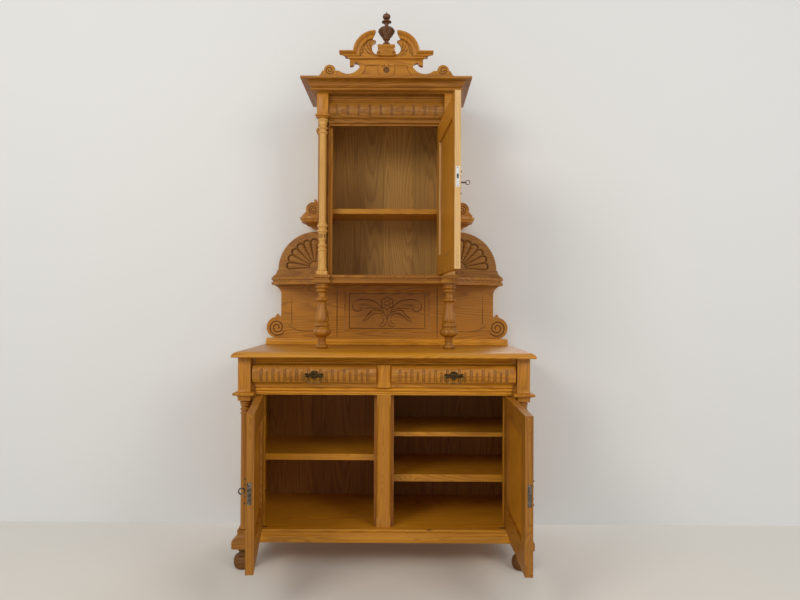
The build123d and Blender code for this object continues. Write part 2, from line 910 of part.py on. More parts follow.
hung_door(
    "upper_door",
    -1,
    (upper_pivot_x, upper_frame_y + upper_door_inset),
    upper_open,
    (
        2 * upper_door_half,
        upper_door_height,
        upper_door_thick,
        upper_door_inset,
        upper_door_bottom,
    ),
    upper_door_stile,
    (upper_rail, upper_rail),
    (
        (upper_door_bottom + upper_door_height - 52, upper_door_bottom + upper_door_height - 4),
        (upper_door_bottom + 9, upper_door_bottom + 59),
    ),
    upper_key_z,
    (upper_key_z - 22, upper_key_z + 53),
    upper_key_bow,
)

with BuildPart() as frame_pivots:
    upper_pivot_y = upper_frame_y + upper_door_inset
    for x, y, shift, floor_z, ceiling_z in (
        (-pivot_x, door_inset, leaf_shift, floor_top, door_top_line),
        (pivot_x, door_inset, -leaf_shift, floor_top, door_top_line),
        (upper_pivot_x, upper_pivot_y, -leaf_shift, console_top, upper_door_line),
    ):
        for level, inward in ((floor_z, 1), (ceiling_z, -1)):
            with Locations((x + shift, y, level - inward * (leaf[2] + seam) / 2)):
                Box(leaf[0] - 2 * seam, leaf[1] - 2 * seam, leaf[2] - seam)
            with BuildSketch(Plane(origin=(x, y, level), z_dir=(0, 0, inward))):
                Circle(pin_radius)
            extrude(amount=door_end_gap + pin_length)
save(frame_pivots, "frame_pivots")

# ---- Drawers ---------------------------------------------------------------------------------
drawer_low = drawer_floor + drawer_gap
drawer_high = drawer_ceiling - drawer_gap
box_low = drawer_floor + drawer_lift
box_high = drawer_ceiling - 5.0
handle_z = drawer_floor + 50.5
plate_back = -drawer_swell - seam
bail_y = plate_back - handle_plate[2] - 9.5
bail_wire = 2.2
cove_high = drawer_low + 20.0

for name, side in (("left_drawer", -1), ("right_drawer", 1)):
    inner_end = side * (divider_half + drawer_gap)
    outer_end = side * (opening_half + drawer_front_end)
    with BuildPart() as front:
        with BuildSketch(Plane.YZ):
            with BuildLine():
                contour(
                    (-drawer_gap, drawer_low),
                    (-8, drawer_low),
                    (-8, drawer_low + 2),
                    (-17, cove_high, -3),
                    (-20, cove_high + 1),
                    (-12, drawer_high, drawer_swell - 16.4),
                    (-drawer_gap, drawer_high),
                    (-drawer_gap, drawer_low),
                    outward=-1,
                )
            make_face()
        extrude(amount=side * (opening_half + drawer_front_end))
        with BuildSketch(Plane.XZ):
            with BuildLine():
                contour(
                    (inner_end, drawer_low),
                    (outer_end - side * 9, drawer_low),
                    (outer_end - side * 9, drawer_low + 2),
                    (outer_end, cove_high, -3),
                    (outer_end, drawer_high),
                    (inner_end, drawer_high),
                    (inner_end, drawer_low),
                    outward=side,
                )
            make_face()
        extrude(amount=2 * drawer_swell, both=True, mode=Mode.INTERSECT)
    save(front, f"{name}_front")

    with BuildPart() as box:
        inner_side = side * drawer_inner
        outer_side = side * drawer_outer
        inner_face = inner_side + side * drawer_side
        outer_face = outer_side - side * drawer_side
        length = (20 + seam, drawer_back_y)
        board((inner_side, outer_side), (-drawer_gap, 20), (box_low, box_high))
        board((inner_side, inner_face), length, (box_low, box_high))
        board((outer_face, outer_side), length, (box_low, box_high))
        between = (inner_face + side * seam, outer_face - side * seam)
        board(between, (drawer_back_y - drawer_side, drawer_back_y), (box_low + 14, box_high))
        bottom = (box_low + 5, box_low + 11)
        board(between, (20 + seam, drawer_back_y), bottom)
    save(box, f"{name}_box")

    middle = (inner_end + outer_end) / 2
    with BuildPart() as plate:
        with BuildSketch(Plane(origin=(middle, plate_back, handle_z), x_dir=(1, 0, 0), z_dir=(0, -1, 0))):
            with BuildLine():
                contour(
                    (0, -17),
                    (10, -12, 1),
                    (22, -9, -2),
                    (38, 0, 4),
                    (30, 8, 3),
                    (14, 9, -3),
                    (8, 15, 2),
                    (0, 17, 2),
                    (0, -17),
                )
            make_face()
            mirror(about=Plane.YZ)
        extrude(amount=handle_plate[2])
        for end in (-1, 1):
            post = (middle + end * handle_reach, plate_back - handle_plate[2], handle_z)
            with BuildSketch(Plane(origin=post, x_dir=(1, 0, 0), z_dir=(0, -1, 0))):
                Circle(handle_post)
            extrude(amount=14.5)
            with BuildSketch(Plane(origin=(post[0], bail_y, handle_z), z_dir=(1, 0, 0))):
                Circle(bail_wire + 0.3)
            extrude(amount=10, both=True, mode=Mode.SUBTRACT)
    save(plate, f"{name}_plate")

    with BuildPart() as bail:
        near, far = handle_reach - 5.5, handle_reach + 8.5
        low_z = handle_z - handle_drop + bail_wire
        with BuildLine() as bend:
            FilletPolyline(
                (middle - near, bail_y, handle_z),
                (middle - far, bail_y, handle_z),
                (middle - far + 4, bail_y, low_z + 8),
                (middle - far + 18, bail_y, low_z),
                (middle + far - 18, bail_y, low_z),
                (middle + far - 4, bail_y, low_z + 8),
                (middle + far, bail_y, handle_z),
                (middle + near, bail_y, handle_z),
                radius=4.0,
            )
        with BuildSketch(Plane(origin=bend.line @ 0, z_dir=bend.line % 0)):
            Circle(bail_wire)
        sweep()
    save(bail, f"{name}_bail")

# ---- Gallery ---------------------------------------------------------------------------------
foot_top = worktop_top + gallery_foot_height
with BuildPart() as gallery_foot:
    with BuildSketch(Plane.YZ):
        with BuildLine():
            lip = gallery_front - gallery_foot_deep
            contour(
                (gallery_front, worktop_top),
                (lip, worktop_top),
                (lip, worktop_top + 7),
                (lip + 4, worktop_top + 9),
                (lip + 15, foot_top - 7, -3),
                (lip + 15, foot_top - 5),
                (lip + 21, foot_top, 1.5),
                (gallery_front, foot_top),
                (gallery_front, worktop_top),
                outward=-1,
            )
        make_face()
    extrude(amount=gallery_foot_half, both=True)
save(gallery_foot, "gallery_foot")

with BuildPart() as gallery_back:
    volute_x, volute_z, volute_r = gallery_volute
    with BuildSketch(Plane.XZ.offset(-case_depth)):
        with BuildLine():
            contour(
                (0, worktop_top),
                (gallery_foot_half, worktop_top),
                (gallery_foot_half, foot_top),
                (volute_x + 9, volute_z - volute_r + 0.8),
                (volute_x + 9, volute_z + volute_r - 0.8, volute_r - 9),
                (volute_x + 3, volute_z + volute_r + 11),
                (volute_x - 5, volute_z + volute_r + 14, 2),
                (volute_x - 11, volute_z + volute_r + 5, -1),
                (gallery_half, volute_z + volute_r + 3),
                (gallery_half, console_bottom - 40),
                (console_wing_half - 5, console_bottom, -9),
                (0, console_bottom),
                (0, worktop_top),
            )
        make_face()
        mirror(about=Plane.YZ)
    extrude(amount=case_depth - gallery_front)
    for depth, margin in ((recess_deep, 0.0), (0.0, recess_deep)):
        with BuildSketch(Plane.XZ.offset(-gallery_front - depth)):
            with Locations((0, (recess_low + recess_high) / 2)):
                Rectangle(2 * (recess_half + margin), recess_high - recess_low + 2 * margin)
    loft(mode=Mode.SUBTRACT)
save(gallery_back, "gallery_back")

with BuildPart() as balusters:
    for side in (-1, 1):
        add(
            turned(
                side * upper_column_x,
                upper_column_y,
                (23, worktop_top),
                (23, worktop_top + 17, 4),
                (17, worktop_top + 30, -3),
                (17, worktop_top + 43),
                (29, worktop_top + 55, -3),
                (29, worktop_top + 87, 9),
                (27, worktop_top + 91),
                (28, worktop_top + 93),
                (28, worktop_top + 107, 5),
                (25, worktop_top + 111),
                (29.5, worktop_top + 123, 1),
                (26, worktop_top + 147, 0.7),
                (16.5, worktop_top + 196, -1.5),
                (20, worktop_top + 200),
                (22, worktop_top + 203),
                (23, worktop_top + 216, 6),
                (16, worktop_top + 227, -2),
                (16, worktop_top + 237),
                (20, worktop_top + 242),
                (20, worktop_top + 254, 5.5),
                (22, worktop_top + 257),
                (24, worktop_top + 269, 5.6),
                (26, worktop_top + 273),
                (26, console_bottom),
            )
        )
save(balusters, "balusters")


def console_plan(inset):
    """Half outline of the console board, drawn back from its moulded edges by inset."""
    corner_in = upper_column_x - console_corner / 2 + inset
    corner_out = upper_column_x + console_corner / 2 - inset
    corner_front = upper_column_y - console_corner / 2 + inset
    corner_back = upper_column_y + console_corner / 2 - inset
    side_run = upper_half + 4.0 - inset
    return (
        (0, console_front + inset),
        (corner_in, console_front + inset),
        (corner_in, corner_front),
        (corner_out, corner_front),
        (corner_out, corner_back),
        (side_run, corner_back),
        (side_run, console_wing_front + inset),
        (console_wing_half - inset, console_wing_tip, console_wing_swell),
        (console_wing_half - inset, case_depth),
        (0, case_depth),
        (0, console_front + inset),
    )


with BuildPart() as console_board:
    for low, high, inset in (
        (console_bottom, console_bottom + console_bead, 0.0),
        (console_bottom + console_bead, console_top - console_bead, console_hollow),
        (console_top - console_bead, console_top, 0.0),
    ):
        with BuildSketch(Plane.XY.offset(low)):
            with BuildLine():
                contour(*console_plan(inset))
            make_face()
            mirror(about=Plane.YZ)
        extrude(amount=high - low)
    with Locations((upper_leaf_x, upper_frame_y + upper_door_inset, console_top - leaf[2] / 2)):
        Box(*leaf, mode=Mode.SUBTRACT)
save(console_board, "console_board")

with BuildPart() as shell_boards:
    shell_x, shell_z, shell_r = shell_arc
    for side in (-1, 1):
        with BuildSketch(Plane.XZ.offset(-case_depth)):
            with BuildLine():
                rim = shell_x + shell_r
                contour(
                    (side * upper_half, console_top),
                    (side * (rim + 28), console_top),
                    (side * (rim + 25), console_top + 7),
                    (side * (rim + 6), shell_z - 1, -5),
                    (side * rim, shell_z),
                    outward=side,
                )
                top = shell_z + sqrt(shell_r**2 - (shell_x - upper_half) ** 2)
                ThreePointArc(
                    (side * rim, shell_z),
                    (side * (shell_x + shell_r * sqrt(0.5)), shell_z + shell_r * sqrt(0.5)),
                    (side * upper_half, top),
                )
                Line((side * upper_half, top), (side * upper_half, console_top))
            make_face()
        extrude(amount=case_depth - gallery_front)
save(shell_boards, "shell_boards")

# ---- Upper cupboard --------------------------------------------------------------------------
with BuildPart() as upper_carcase:
    for side in (-1, 1):
        run = (upper_stile_back, back_in)
        board((side * upper_in, side * upper_half), run, (console_top, upper_top))
    board(
        (-upper_in + seam, upper_in - seam),
        (upper_stile_back, back_in),
        (upper_top - upper_member, upper_top),
    )
save(upper_carcase, "upper_carcase")

with BuildPart() as upper_back:
    joints = (-upper_half, *upper_planks, upper_half + seam)
    for start, end in zip(joints, joints[1:]):
        board((start, end - seam), (back_in, case_depth), (console_top, upper_top))
save(upper_back, "upper_back")

with BuildPart() as upper_shelf:
    board(
        (-upper_in + 0.5, upper_in - 0.5),
        (upper_shelf_front, back_in - 1),
        (upper_shelf_under, upper_shelf_top),
    )
save(upper_shelf, "upper_shelf")

with BuildPart() as upper_frame:
    for side in (-1, 1):
        board(
            (side * upper_opening, side * upper_half),
            (upper_block_back, upper_stile_back),
            (console_top, upper_top),
        )
    stop_face = upper_frame_y + upper_door_thick + 0.4
    board(
        (-upper_opening - 2.4, -upper_opening),
        (upper_frame_y, upper_block_back - seam),
        (console_top, upper_door_line - seam),
    )
    board(
        (-upper_opening + seam, -upper_opening + stop_lap),
        (stop_face, upper_stile_back),
        (console_top, upper_door_line - seam),
    )
    with Locations((-upper_opening, upper_frame_y + upper_door_inset, upper_key_z + bolt_rise)):
        Box(*strike, mode=Mode.SUBTRACT)
save(upper_frame, "upper_frame")

with BuildPart() as frieze:
    face = upper_frame_y
    with BuildSketch(Plane.YZ):
        with BuildLine():
            contour(
                (upper_block_back, upper_door_line),
                (face, upper_door_line),
                (face, upper_door_line + 2),
                (face - 5, upper_door_line + 9, -2),
                (face - 5, upper_door_line + 20, 5),
                (face, upper_door_line + 22),
                (face, upper_door_line + 28),
                (face - 8, upper_door_line + 31),
                (face - 8, upper_door_line + 100, 14),
                (face - 3, upper_door_line + 104),
                (face - 3, upper_door_line + 107),
                (face - 3, upper_door_line + 116, 4),
                (face - 4, upper_door_line + 118),
                (face - 4, upper_door_line + 126, 4),
                (face - 4, upper_top),
                (upper_block_back, upper_top),
                (upper_block_back, upper_door_line),
                outward=-1,
            )
        make_face()
    extrude(amount=upper_block_in, both=True)
    with Locations((upper_leaf_x, upper_frame_y + upper_door_inset, upper_door_line + leaf[2] / 2)):
        Box(*leaf, mode=Mode.SUBTRACT)
save(frieze, "frieze")

with BuildPart() as upper_columns:
    half = upper_block / 2
    foot = console_top + 17.0
    for side in (-1, 1):
        x, y = side * upper_column_x, upper_column_y
        add(squared(x, y, (half, console_top), (half, foot - 2), (half - 3, foot)))
        add(
            turned(
                x,
                y,
                (18, foot),
                (18, console_top + 29, 3),
                (17.5, console_top + 31),
                (17.5, console_top + 101),
                (18, console_top + 103),
                (18, console_top + 111, 3),
                (15, console_top + 115, -1),
                (15, console_top + 119),
                (18, console_top + 122),
                (18, console_top + 129, 2),
                (12.5, console_top + 138, -1),
                (12.5, console_top + 142),
                (17, console_top + 167, 1.5),
                (17.5, console_top + 180),
                (19, console_top + 183),
                (20, console_top + 193, 3),
                (17, console_top + 196),
                (17, console_top + 200),
                (20, console_top + 204),
                (20, console_top + 216, 3),
                (16, console_top + 222),
                (15, console_top + 228),
                (15, upper_cap - 67),
                (18, upper_cap - 64),
                (18, upper_cap - 56, 2.5),
                (14, upper_cap - 52, -1),
                (14, upper_cap - 48),
                (18, upper_cap - 45),
                (18, upper_cap - 37, 2.5),
                (13, upper_cap - 32, -1),
                (17, upper_cap - 20, 2),
                (20, upper_cap - 12),
                (20, upper_cap - 2, 2.5),
                (20, upper_cap),
            )
        )
save(upper_columns, "upper_columns")

with BuildPart() as upper_blocks:
    for side in (-1, 1):
        x, y = side * upper_column_x, upper_column_y
        cap = upper_abacus / 2
        add(
            squared(
                x,
                y,
                (24, upper_cap),
                (cap - 2, upper_cap + 6, -1),
                (cap, upper_cap + 7),
                (cap, upper_cap + 11),
                (24, upper_cap + 14),
                (24, upper_top),
            )
        )
        lap = (upper_cap, upper_cap + 20)
        for far in (upper_block_in, upper_half + upper_block):
            front = y - upper_block / 2 if far == upper_block_in else upper_block_back
            board((0, side * far), (front, case_depth), lap, Mode.SUBTRACT)
        add(
            tablet(
                x,
                upper_column_y - upper_block / 2,
                upper_cap + 22,
                upper_top - 8,
                upper_block - 16,
                tablet_raise,
            )
        )
save(upper_blocks, "upper_blocks")

# ---- Cornice and pediment --------------------------------------------------------------------
with BuildPart() as cornice:
    add(
        moulded_slab(
            cornice_half,
            cornice_front,
            case_depth,
            (61, upper_top),
            (61, upper_top + 3),
            (44, upper_top + 5),
            (44, upper_top + 18, 6),
            (38, upper_top + 20),
            (38, upper_top + 23),
            (34, upper_top + 23),
            (34, upper_top + 26),
            (6, cornice_top - 11, -7),
            (3, cornice_top - 9),
            (0, cornice_top - 9),
            (0, cornice_top - 1),
            (1, cornice_top),
        )
    )
save(cornice, "cornice")

arch_x, arch_z = arch_centre
arch_wide = arch_outer - arch_inner
under_arch = arch_outer - arch_lap - seam
volute_x, volute_z, volute_radius = crown_volute
# The moulding that arches and caps share: share of its width, how far it stands out, swell.
crown_moulding = (
    (0, 0),
    (0, 6),
    (0.3, 9, 2),
    (0.55, 16, -3),
    (0.7, 18),
    (0.75, 20),
    (1, 22, 1),
)
with BuildPart() as crown_board:
    with BuildSketch(Plane.XZ.offset(-crown_front - crown_thick)):
        with BuildLine():
            arch_end = 12.0  # beside the arch's centre
            arch_head = sqrt(under_arch**2 - arch_end**2)
            arch_chord = sqrt((under_arch - arch_end) ** 2 + arch_head**2) / 2
            contour(
                (0, cornice_top),
                (290, cornice_top),
                (289, 2019),
                (274, 2037, -3),
                (volute_x + volute_radius, volute_z, 1),
                (volute_x - volute_radius, volute_z, volute_radius),
                (204, 2041),
                (190, 2034, 1),
                (113, 2057, -16),
                (130, 2075, -5),
                (136, 2070, -1),
                (141, 2064, 1),
                (146, 2062, -1),
                (crown_end - 2, 2062),
                (crown_end, 2064, 1),
                (crown_end, strip_top),
                (arch_x + under_arch, strip_top),
                (arch_x + under_arch, arch_z),
                (
                    arch_x + arch_end,
                    arch_z + arch_head,
                    under_arch - sqrt(under_arch**2 - arch_chord**2),
                ),
                (arch_x + 13, arch_z + arch_inner - 3),
                (50, 2171, -1),
                (44, 2166, 1),
                (61, 2138, -4),
                (36, 2110, -8.5),
                (pedestal_half + seam, 2109),
                (pedestal_half + seam, pedestal_bottom),
                (0, pedestal_bottom),
                (0, cornice_top),
            )
        make_face()
        mirror(about=Plane.YZ)
    extrude(amount=crown_thick)
save(crown_board, "crown_board")

with BuildPart() as crown_entablature:
    with BuildSketch(Plane.YZ):
        with BuildLine():
            contour(
                (crown_front, strip_bottom),
                (crown_front - 4, strip_bottom),
                (crown_front - 8, strip_bottom + 4, -1),
                (crown_front - 9, strip_bottom + 4),
                (crown_front - 9, strip_top - 2),
                (crown_front - 7, strip_top),
                (crown_front, strip_top),
                (crown_front, strip_bottom),
                outward=-1,
            )
        make_face()
    extrude(amount=crown_end + 9, both=True)
    cap_start = arch_x + arch_inner
    for side in (-1, 1):
        with BuildSketch(Plane.YZ.offset(side * cap_start)):
            with BuildLine():
                base = strip_top + seam
                cap = [
                    (crown_front - proud, base + share * (cap_top - base), *swell)
                    for share, proud, *swell in crown_moulding
                ]
                contour(*cap, (crown_front, cap_top), cap[0], outward=-1)
            make_face()
        extrude(amount=side * (cap_tip - cap_start))
        board(
            (side * (arch_x + arch_outer + seam), side * (crown_end + 20)),
            (crown_front, crown_front + crown_thick),
            (strip_top + seam, cap_top),
        )
        with BuildSketch(Plane.XZ.offset(-2 * crown_front)):
            corner = side * (arch_x + arch_outer + seam)
            Polygon(
                (side * cap_start, cap_top + 1),
                (side * cap_start, strip_top),
                (side * (cap_start + seam), strip_top),
                (corner, cap_top),
                (corner, cap_top + 1),
                align=None,
            )
        extrude(amount=2 * crown_front, mode=Mode.SUBTRACT)
    with BuildSketch(Plane.XZ.offset(-2 * crown_front)):
        with BuildLine():
            contour(
                (0, strip_bottom - 1),
                (crown_end, strip_bottom - 1),
                (crown_end + 8, strip_bottom + 4, -1),
                (crown_end + 9, strip_bottom + 8),
                (crown_end + 21, strip_top, 1),
                (cap_tip - 3, cap_top - 13, -2),
                (cap_tip, cap_top - 11),
                (cap_tip, cap_top),
                (0, cap_top),
                (0, strip_bottom - 1),
            )
        make_face()
        mirror(about=Plane.YZ)
    extrude(amount=2 * crown_front, mode=Mode.INTERSECT)
save(crown_entablature, "crown_entablature")

with BuildPart() as pediment_arches:
    for side in (-1, 1):
        rim = Axis((side * arch_x, 0, arch_z), (0, 1, 0))
        arch = [
            (side * (arch_inner + share * arch_wide), crown_front - proud, *swell)
            for share, proud, *swell in crown_moulding
        ]
        with BuildSketch(Plane(origin=(side * arch_x, 0, arch_z))) as section:
            with BuildLine():
                contour(
                    *arch,
                    (side * arch_outer, crown_front + 8),
                    (side * (arch_outer - arch_lap), crown_front + 8),
                    (side * (arch_outer - arch_lap), crown_front),
                    arch[0],
                    outward=side,
                )
            make_face()
        revolve(axis=rim, revolution_arc=side * -90)
        extrude(section.sketch, amount=strip_top + seam - arch_z)
        with BuildSketch(Plane.XZ.offset(-2 * crown_front)):
            corner = side * (arch_x + arch_inner)
            Polygon(
                (corner, strip_top),
                (side * (arch_x + arch_outer), cap_top),
                (side * (arch_x + 2 * arch_outer), cap_top),
                (side * (arch_x + 2 * arch_outer), strip_top),
                align=None,
            )
            Polygon(
                (side * arch_x, arch_z + arch_outer + 1),
                (side * (arch_x + 3), arch_z + arch_outer - 12),
                (side * (arch_x + 13), arch_z + arch_inner - 3),
                (side * arch_x, arch_z + arch_inner - 3),
                align=None,
            )
        extrude(amount=2 * crown_front, mode=Mode.SUBTRACT)
save(pediment_arches, "pediment_arches")

with BuildPart() as pedestal:
    add(
        moulded_slab(
            pedestal_half + pedestal_cap,
            pedestal_front - pedestal_cap,
            pedestal_back,
            (pedestal_cap, pedestal_bottom),
            (pedestal_cap, pedestal_top - 15),
            (2, pedestal_top - 13),
            (0, pedestal_top - 7, -1),
            (0, pedestal_top - 2),
            (2, pedestal_top),
        )
    )
    for side in (-1, 1):
        scroll_x, scroll_y = side * (pedestal_half - 1), pedestal_front - pedestal_cap
        with BuildSketch(Plane.XZ.offset(-scroll_y - scroll_long)):
            with Locations((scroll_x, pedestal_bottom + scroll_radius)):
                Circle(scroll_radius)
        extrude(amount=scroll_long)
save(pedestal, "pedestal")

with BuildPart() as urn:
    add(
        turned(
            0,
            urn_y,
            (20, pedestal_top),
            (20, pedestal_top + 3),
            (17, pedestal_top + 9, 1.5),
            (9, pedestal_top + 17, 2),
            (8, pedestal_top + 22, -1),
            (11, pedestal_top + 26),
            (17, pedestal_top + 35, 1),
            (27, pedestal_top + 49),
            (28, pedestal_top + 51, 0.6),
            (29, pedestal_top + 53),
            (33, pedestal_top + 60, 1),
            (35, pedestal_top + 62, 0.6),
            (35, pedestal_top + 66, 1),
            (32, pedestal_top + 72, 1),
            (20, pedestal_top + 80, 2),
            (10, pedestal_top + 84),
            (8, pedestal_top + 90, -1),
            (9, pedestal_top + 95),
            (20, pedestal_top + 103, -2),
            (20, pedestal_top + 107, 1),
            (8, pedestal_top + 112, -2),
            (5, pedestal_top + 116),
            (5, pedestal_top + 139, 12),
            (3, pedestal_top + 141),
            (2.5, urn_top - 3, -0.5),
            (1, urn_top),
        )
    )
save(urn, "urn")

with BuildPart() as side_consoles:
    crest_x, crest_z, crest_radius = crest_volute
    under = ledge_top - 2 * ledge_layer
    for side in (-1, 1):
        wall = side * upper_half
        tip = side * (upper_half + ledge_reach)
        for low, inset in ((under, ledge_inset), (ledge_top - ledge_layer, 0.0)):
            with BuildSketch(Plane.XY.offset(low)):
                with BuildLine():
                    contour(
                        (wall, ledge_front + inset),
                        (wall + side * 40, ledge_front + inset),
                        (tip - side * inset, ledge_side + inset, 10),
                        (tip - side * inset, gallery_front),
                        (wall, gallery_front),
                        (wall, ledge_front + inset),
                        outward=side,
                    )
                make_face()
            extrude(amount=ledge_layer)
        with BuildSketch(Plane.XZ.offset(-gallery_front)):
            with BuildLine():
                knob_x, knob_z = side * (crest_x - 11), crest_z + crest_radius + 8
                contour(
                    (wall, ledge_top),
                    (tip - side, ledge_top),
                    (tip - side * 2, ledge_top + 18),
                    (side * (crest_x + crest_radius + 3), crest_z - 11, -2),
                    (side * (crest_x + crest_radius - 0.5), crest_z - 12),
                    (side * (crest_x - 6), crest_z + crest_radius, 17),
                    (knob_x + side * crest_knob, knob_z),
                    (knob_x - side * crest_knob, knob_z, crest_knob),
                    (knob_x - side * (crest_knob + 3), knob_z - 3, -1),
                    (wall, knob_z - 3),
                    (wall, ledge_top),
                    outward=side,
                )
            make_face()
            with BuildLine():
                contour(
                    (wall, under - 28),
                    (wall + side * 40, under - 27),
                    (wall + side * 64, under - 17, 3),
                    (wall + side * 78, under - 12, -1.5),
                    (wall + side * 98, under, -1.5),
                    (wall, under),
                    (wall, under - 28),
                    outward=side,
                )
            make_face()
        extrude(amount=ledge_board)
        ear = Plane(origin=(wall, upper_stile_back, ear_z), x_dir=(1, 0, 0), z_dir=(0, -1, 0))
        with BuildSketch(ear):
            with Locations((side * (ear_proud - ear_radius), 0)):
                Circle(ear_radius)
            with Locations((-side * ear_radius, 0)):
                Rectangle(2 * ear_radius, 2 * ear_radius, mode=Mode.SUBTRACT)
        extrude(amount=-ear_thick)
save(side_consoles, "side_consoles")
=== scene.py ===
# %% [markdown]
# # A waxed pine buffet of about 1890
# The buffet has a cupboard base with two drawers and two doors, and a small cupboard that stands on
# two balusters. Its exact shapes come from a CAD model, which is loaded first and never moved. The
# script then gives every board its own grain, softens the edges as years of use do, cuts the
# carving, adds the ironwork's small fixings, and sets up a plain studio.

# %% Load the CAD model
import json
from collections import namedtuple
from math import cos, degrees, pi, radians, sin, sqrt

import bmesh
import bpy
from mathutils import Matrix, Vector


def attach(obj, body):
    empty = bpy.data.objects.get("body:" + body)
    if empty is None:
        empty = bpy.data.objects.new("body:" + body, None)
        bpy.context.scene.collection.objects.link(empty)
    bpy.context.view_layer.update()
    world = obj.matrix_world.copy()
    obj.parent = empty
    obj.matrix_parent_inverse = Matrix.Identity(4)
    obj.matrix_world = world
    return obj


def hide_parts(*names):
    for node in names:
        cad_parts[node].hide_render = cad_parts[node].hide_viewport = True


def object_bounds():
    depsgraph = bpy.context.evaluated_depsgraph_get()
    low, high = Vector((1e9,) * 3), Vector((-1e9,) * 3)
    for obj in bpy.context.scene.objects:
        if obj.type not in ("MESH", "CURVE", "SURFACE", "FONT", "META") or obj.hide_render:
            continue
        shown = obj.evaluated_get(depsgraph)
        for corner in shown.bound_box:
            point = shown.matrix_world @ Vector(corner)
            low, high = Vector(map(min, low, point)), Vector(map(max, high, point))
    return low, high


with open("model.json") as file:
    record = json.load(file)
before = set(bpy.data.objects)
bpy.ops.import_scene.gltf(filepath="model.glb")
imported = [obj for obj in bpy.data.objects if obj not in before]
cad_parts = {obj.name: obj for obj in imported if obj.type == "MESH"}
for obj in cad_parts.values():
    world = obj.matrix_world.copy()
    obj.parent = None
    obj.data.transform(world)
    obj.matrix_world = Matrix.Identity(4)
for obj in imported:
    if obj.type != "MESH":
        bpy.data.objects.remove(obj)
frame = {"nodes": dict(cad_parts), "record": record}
nodes = frame["nodes"]
body_of = {n: body for body, ns in frame["record"]["behaviour"]["bodies"].items() for n in ns}
slot_of = {part["node"]: part["material_slot"] for part in frame["record"]["subparts"]}
cad_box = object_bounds()
mm = 0.001
print(len(nodes), "pieces, box", [tuple(round(v, 3) for v in corner) for corner in cad_box])


# %% [markdown]
# ## Colours and shader nodes
# A colour picked on a screen is an sRGB value, and a shader wants linear light, so one function
# turns a hex code into linear numbers. A second small function adds a shader node, sets its values
# and joins its inputs, which keeps each material readable as a recipe.


# %% Helpers for materials
def linear(code):
    """Linear colour with alpha from an sRGB hex code."""
    channels = [int(code[i : i + 2], 16) / 255 for i in (1, 3, 5)]
    return [c / 12.92 if c <= 0.04045 else ((c + 0.055) / 1.055) ** 2.4 for c in channels] + [1.0]


def add_node(material, kind, links=None, values=None, **settings):
    """Add a shader node: settings are its options, values its sockets, links what feeds them."""
    tree = material.node_tree
    made = tree.nodes.new(kind)
    for name, value in settings.items():
        setattr(made, name, value)
    for name, value in (values or {}).items():
        made.inputs[name].default_value = value
    for name, source in (links or {}).items():
        tree.links.new(source, made.inputs[name])
    return made


def new_material(name):
    """Empty material with an output node."""
    material = bpy.data.materials.new(name)
    material.use_nodes = True
    material.node_tree.nodes.clear()
    return material, add_node(material, "ShaderNodeOutputMaterial")


def set_stops(ramp, stops):
    """Put (place, hex code) stops on a colour ramp."""
    bands = ramp.color_ramp.elements
    while len(bands) < len(stops):
        bands.new(0.5)
    for band, (place, code) in zip(bands, stops):
        band.position = place
        band.color = linear(code)


print("linear mid grey", round(linear("#808080")[0], 3))

# %% [markdown]
# ## Waxed pine
# Old pine shows pale early wood between thin amber lines of late wood, dark oval knots, and a honey
# glow from wax. A solid 3-D pattern suits it better than a flat one, because the figure then runs
# over an edge as it does in real timber. The pattern is a slow noise, stretched along the grain and
# cut into contour lines: where the noise is steep the lines crowd, where it is flat they open into
# the arches of a plank. Each board shifts the pattern by its own number, stored on its faces.

# %% Measures and tones of pine
ring_spacing = 6 * mm  # between two late wood lines, on the average
figure_size = 140 * mm  # of the slow swell that the lines follow
fibre_width = 1.6 * mm  # drawn coarser than real fibres, so that they show
knot_spacing = 170 * mm
knot_heart = (3.5 * mm, 6.5 * mm)  # dark inside the first, gone outside the second
coarse_knots = 2.0  # how much larger knots are in the plain boards of the back
knot_reach = 50 * mm  # how far a knot bends the lines around it
knot_bend = 0.35  # how strongly it bends them
knot_dark = 0.85  # how far a knot's heart takes the knot's own colour
grain_stretch = 0.07  # a length along the grain counts as this share of itself in the figure
knot_stretch = 0.4
fibre_stretch = 0.03
drift = {"From Min": 0.3, "From Max": 0.7, "To Min": 0.86, "To Max": 1.1}  # of tone, on noise
board_shift = (3.7, 5.3, 11.9)  # metres between the figures of board numbers 0 and 1
relief_depth = 0.3 * mm

TONES = {
    # name: early wood, late wood, knot, roughness
    "honey": ("#D08E22", "#B87716", "#6A3A10", 0.36),
    "front": ("#BC7C1C", "#A36814", "#5A3210", 0.38),
    "amber": ("#A66C1A", "#8E5812", "#50290C", 0.42),
    "brown": ("#AC762A", "#946020", "#50290C", 0.50),
    # a pale tone for the upper back, as painted light that falls into the upper case from the front
    "back_painted_light": ("#BD9149", "#A67B3B", "#5A3214", 0.60),
    # a tone a little darker than the front for the inside of the case, as painted shade
    "dusky": ("#A86C24", "#905818", "#4C280C", 0.60),
    "straw": ("#DAA758", "#C79244", "#6A4218", 0.42),
    "pale": ("#DDB478", "#CBA066", "#6A4218", 0.55),
    "shaded": ("#94611C", "#7E4E14", "#3E210D", 0.50),
    # a dark tone for the feet, and for the lining of carved cuts, where it is painted shade with
    # some old wax
    "grime_and_shade": ("#70450F", "#5A350A", "#3A200C", 0.60),
    "walnut": ("#6E4526", "#4E2F18", "#26150C", 0.26),
}

print("tones of pine:", ", ".join(TONES))


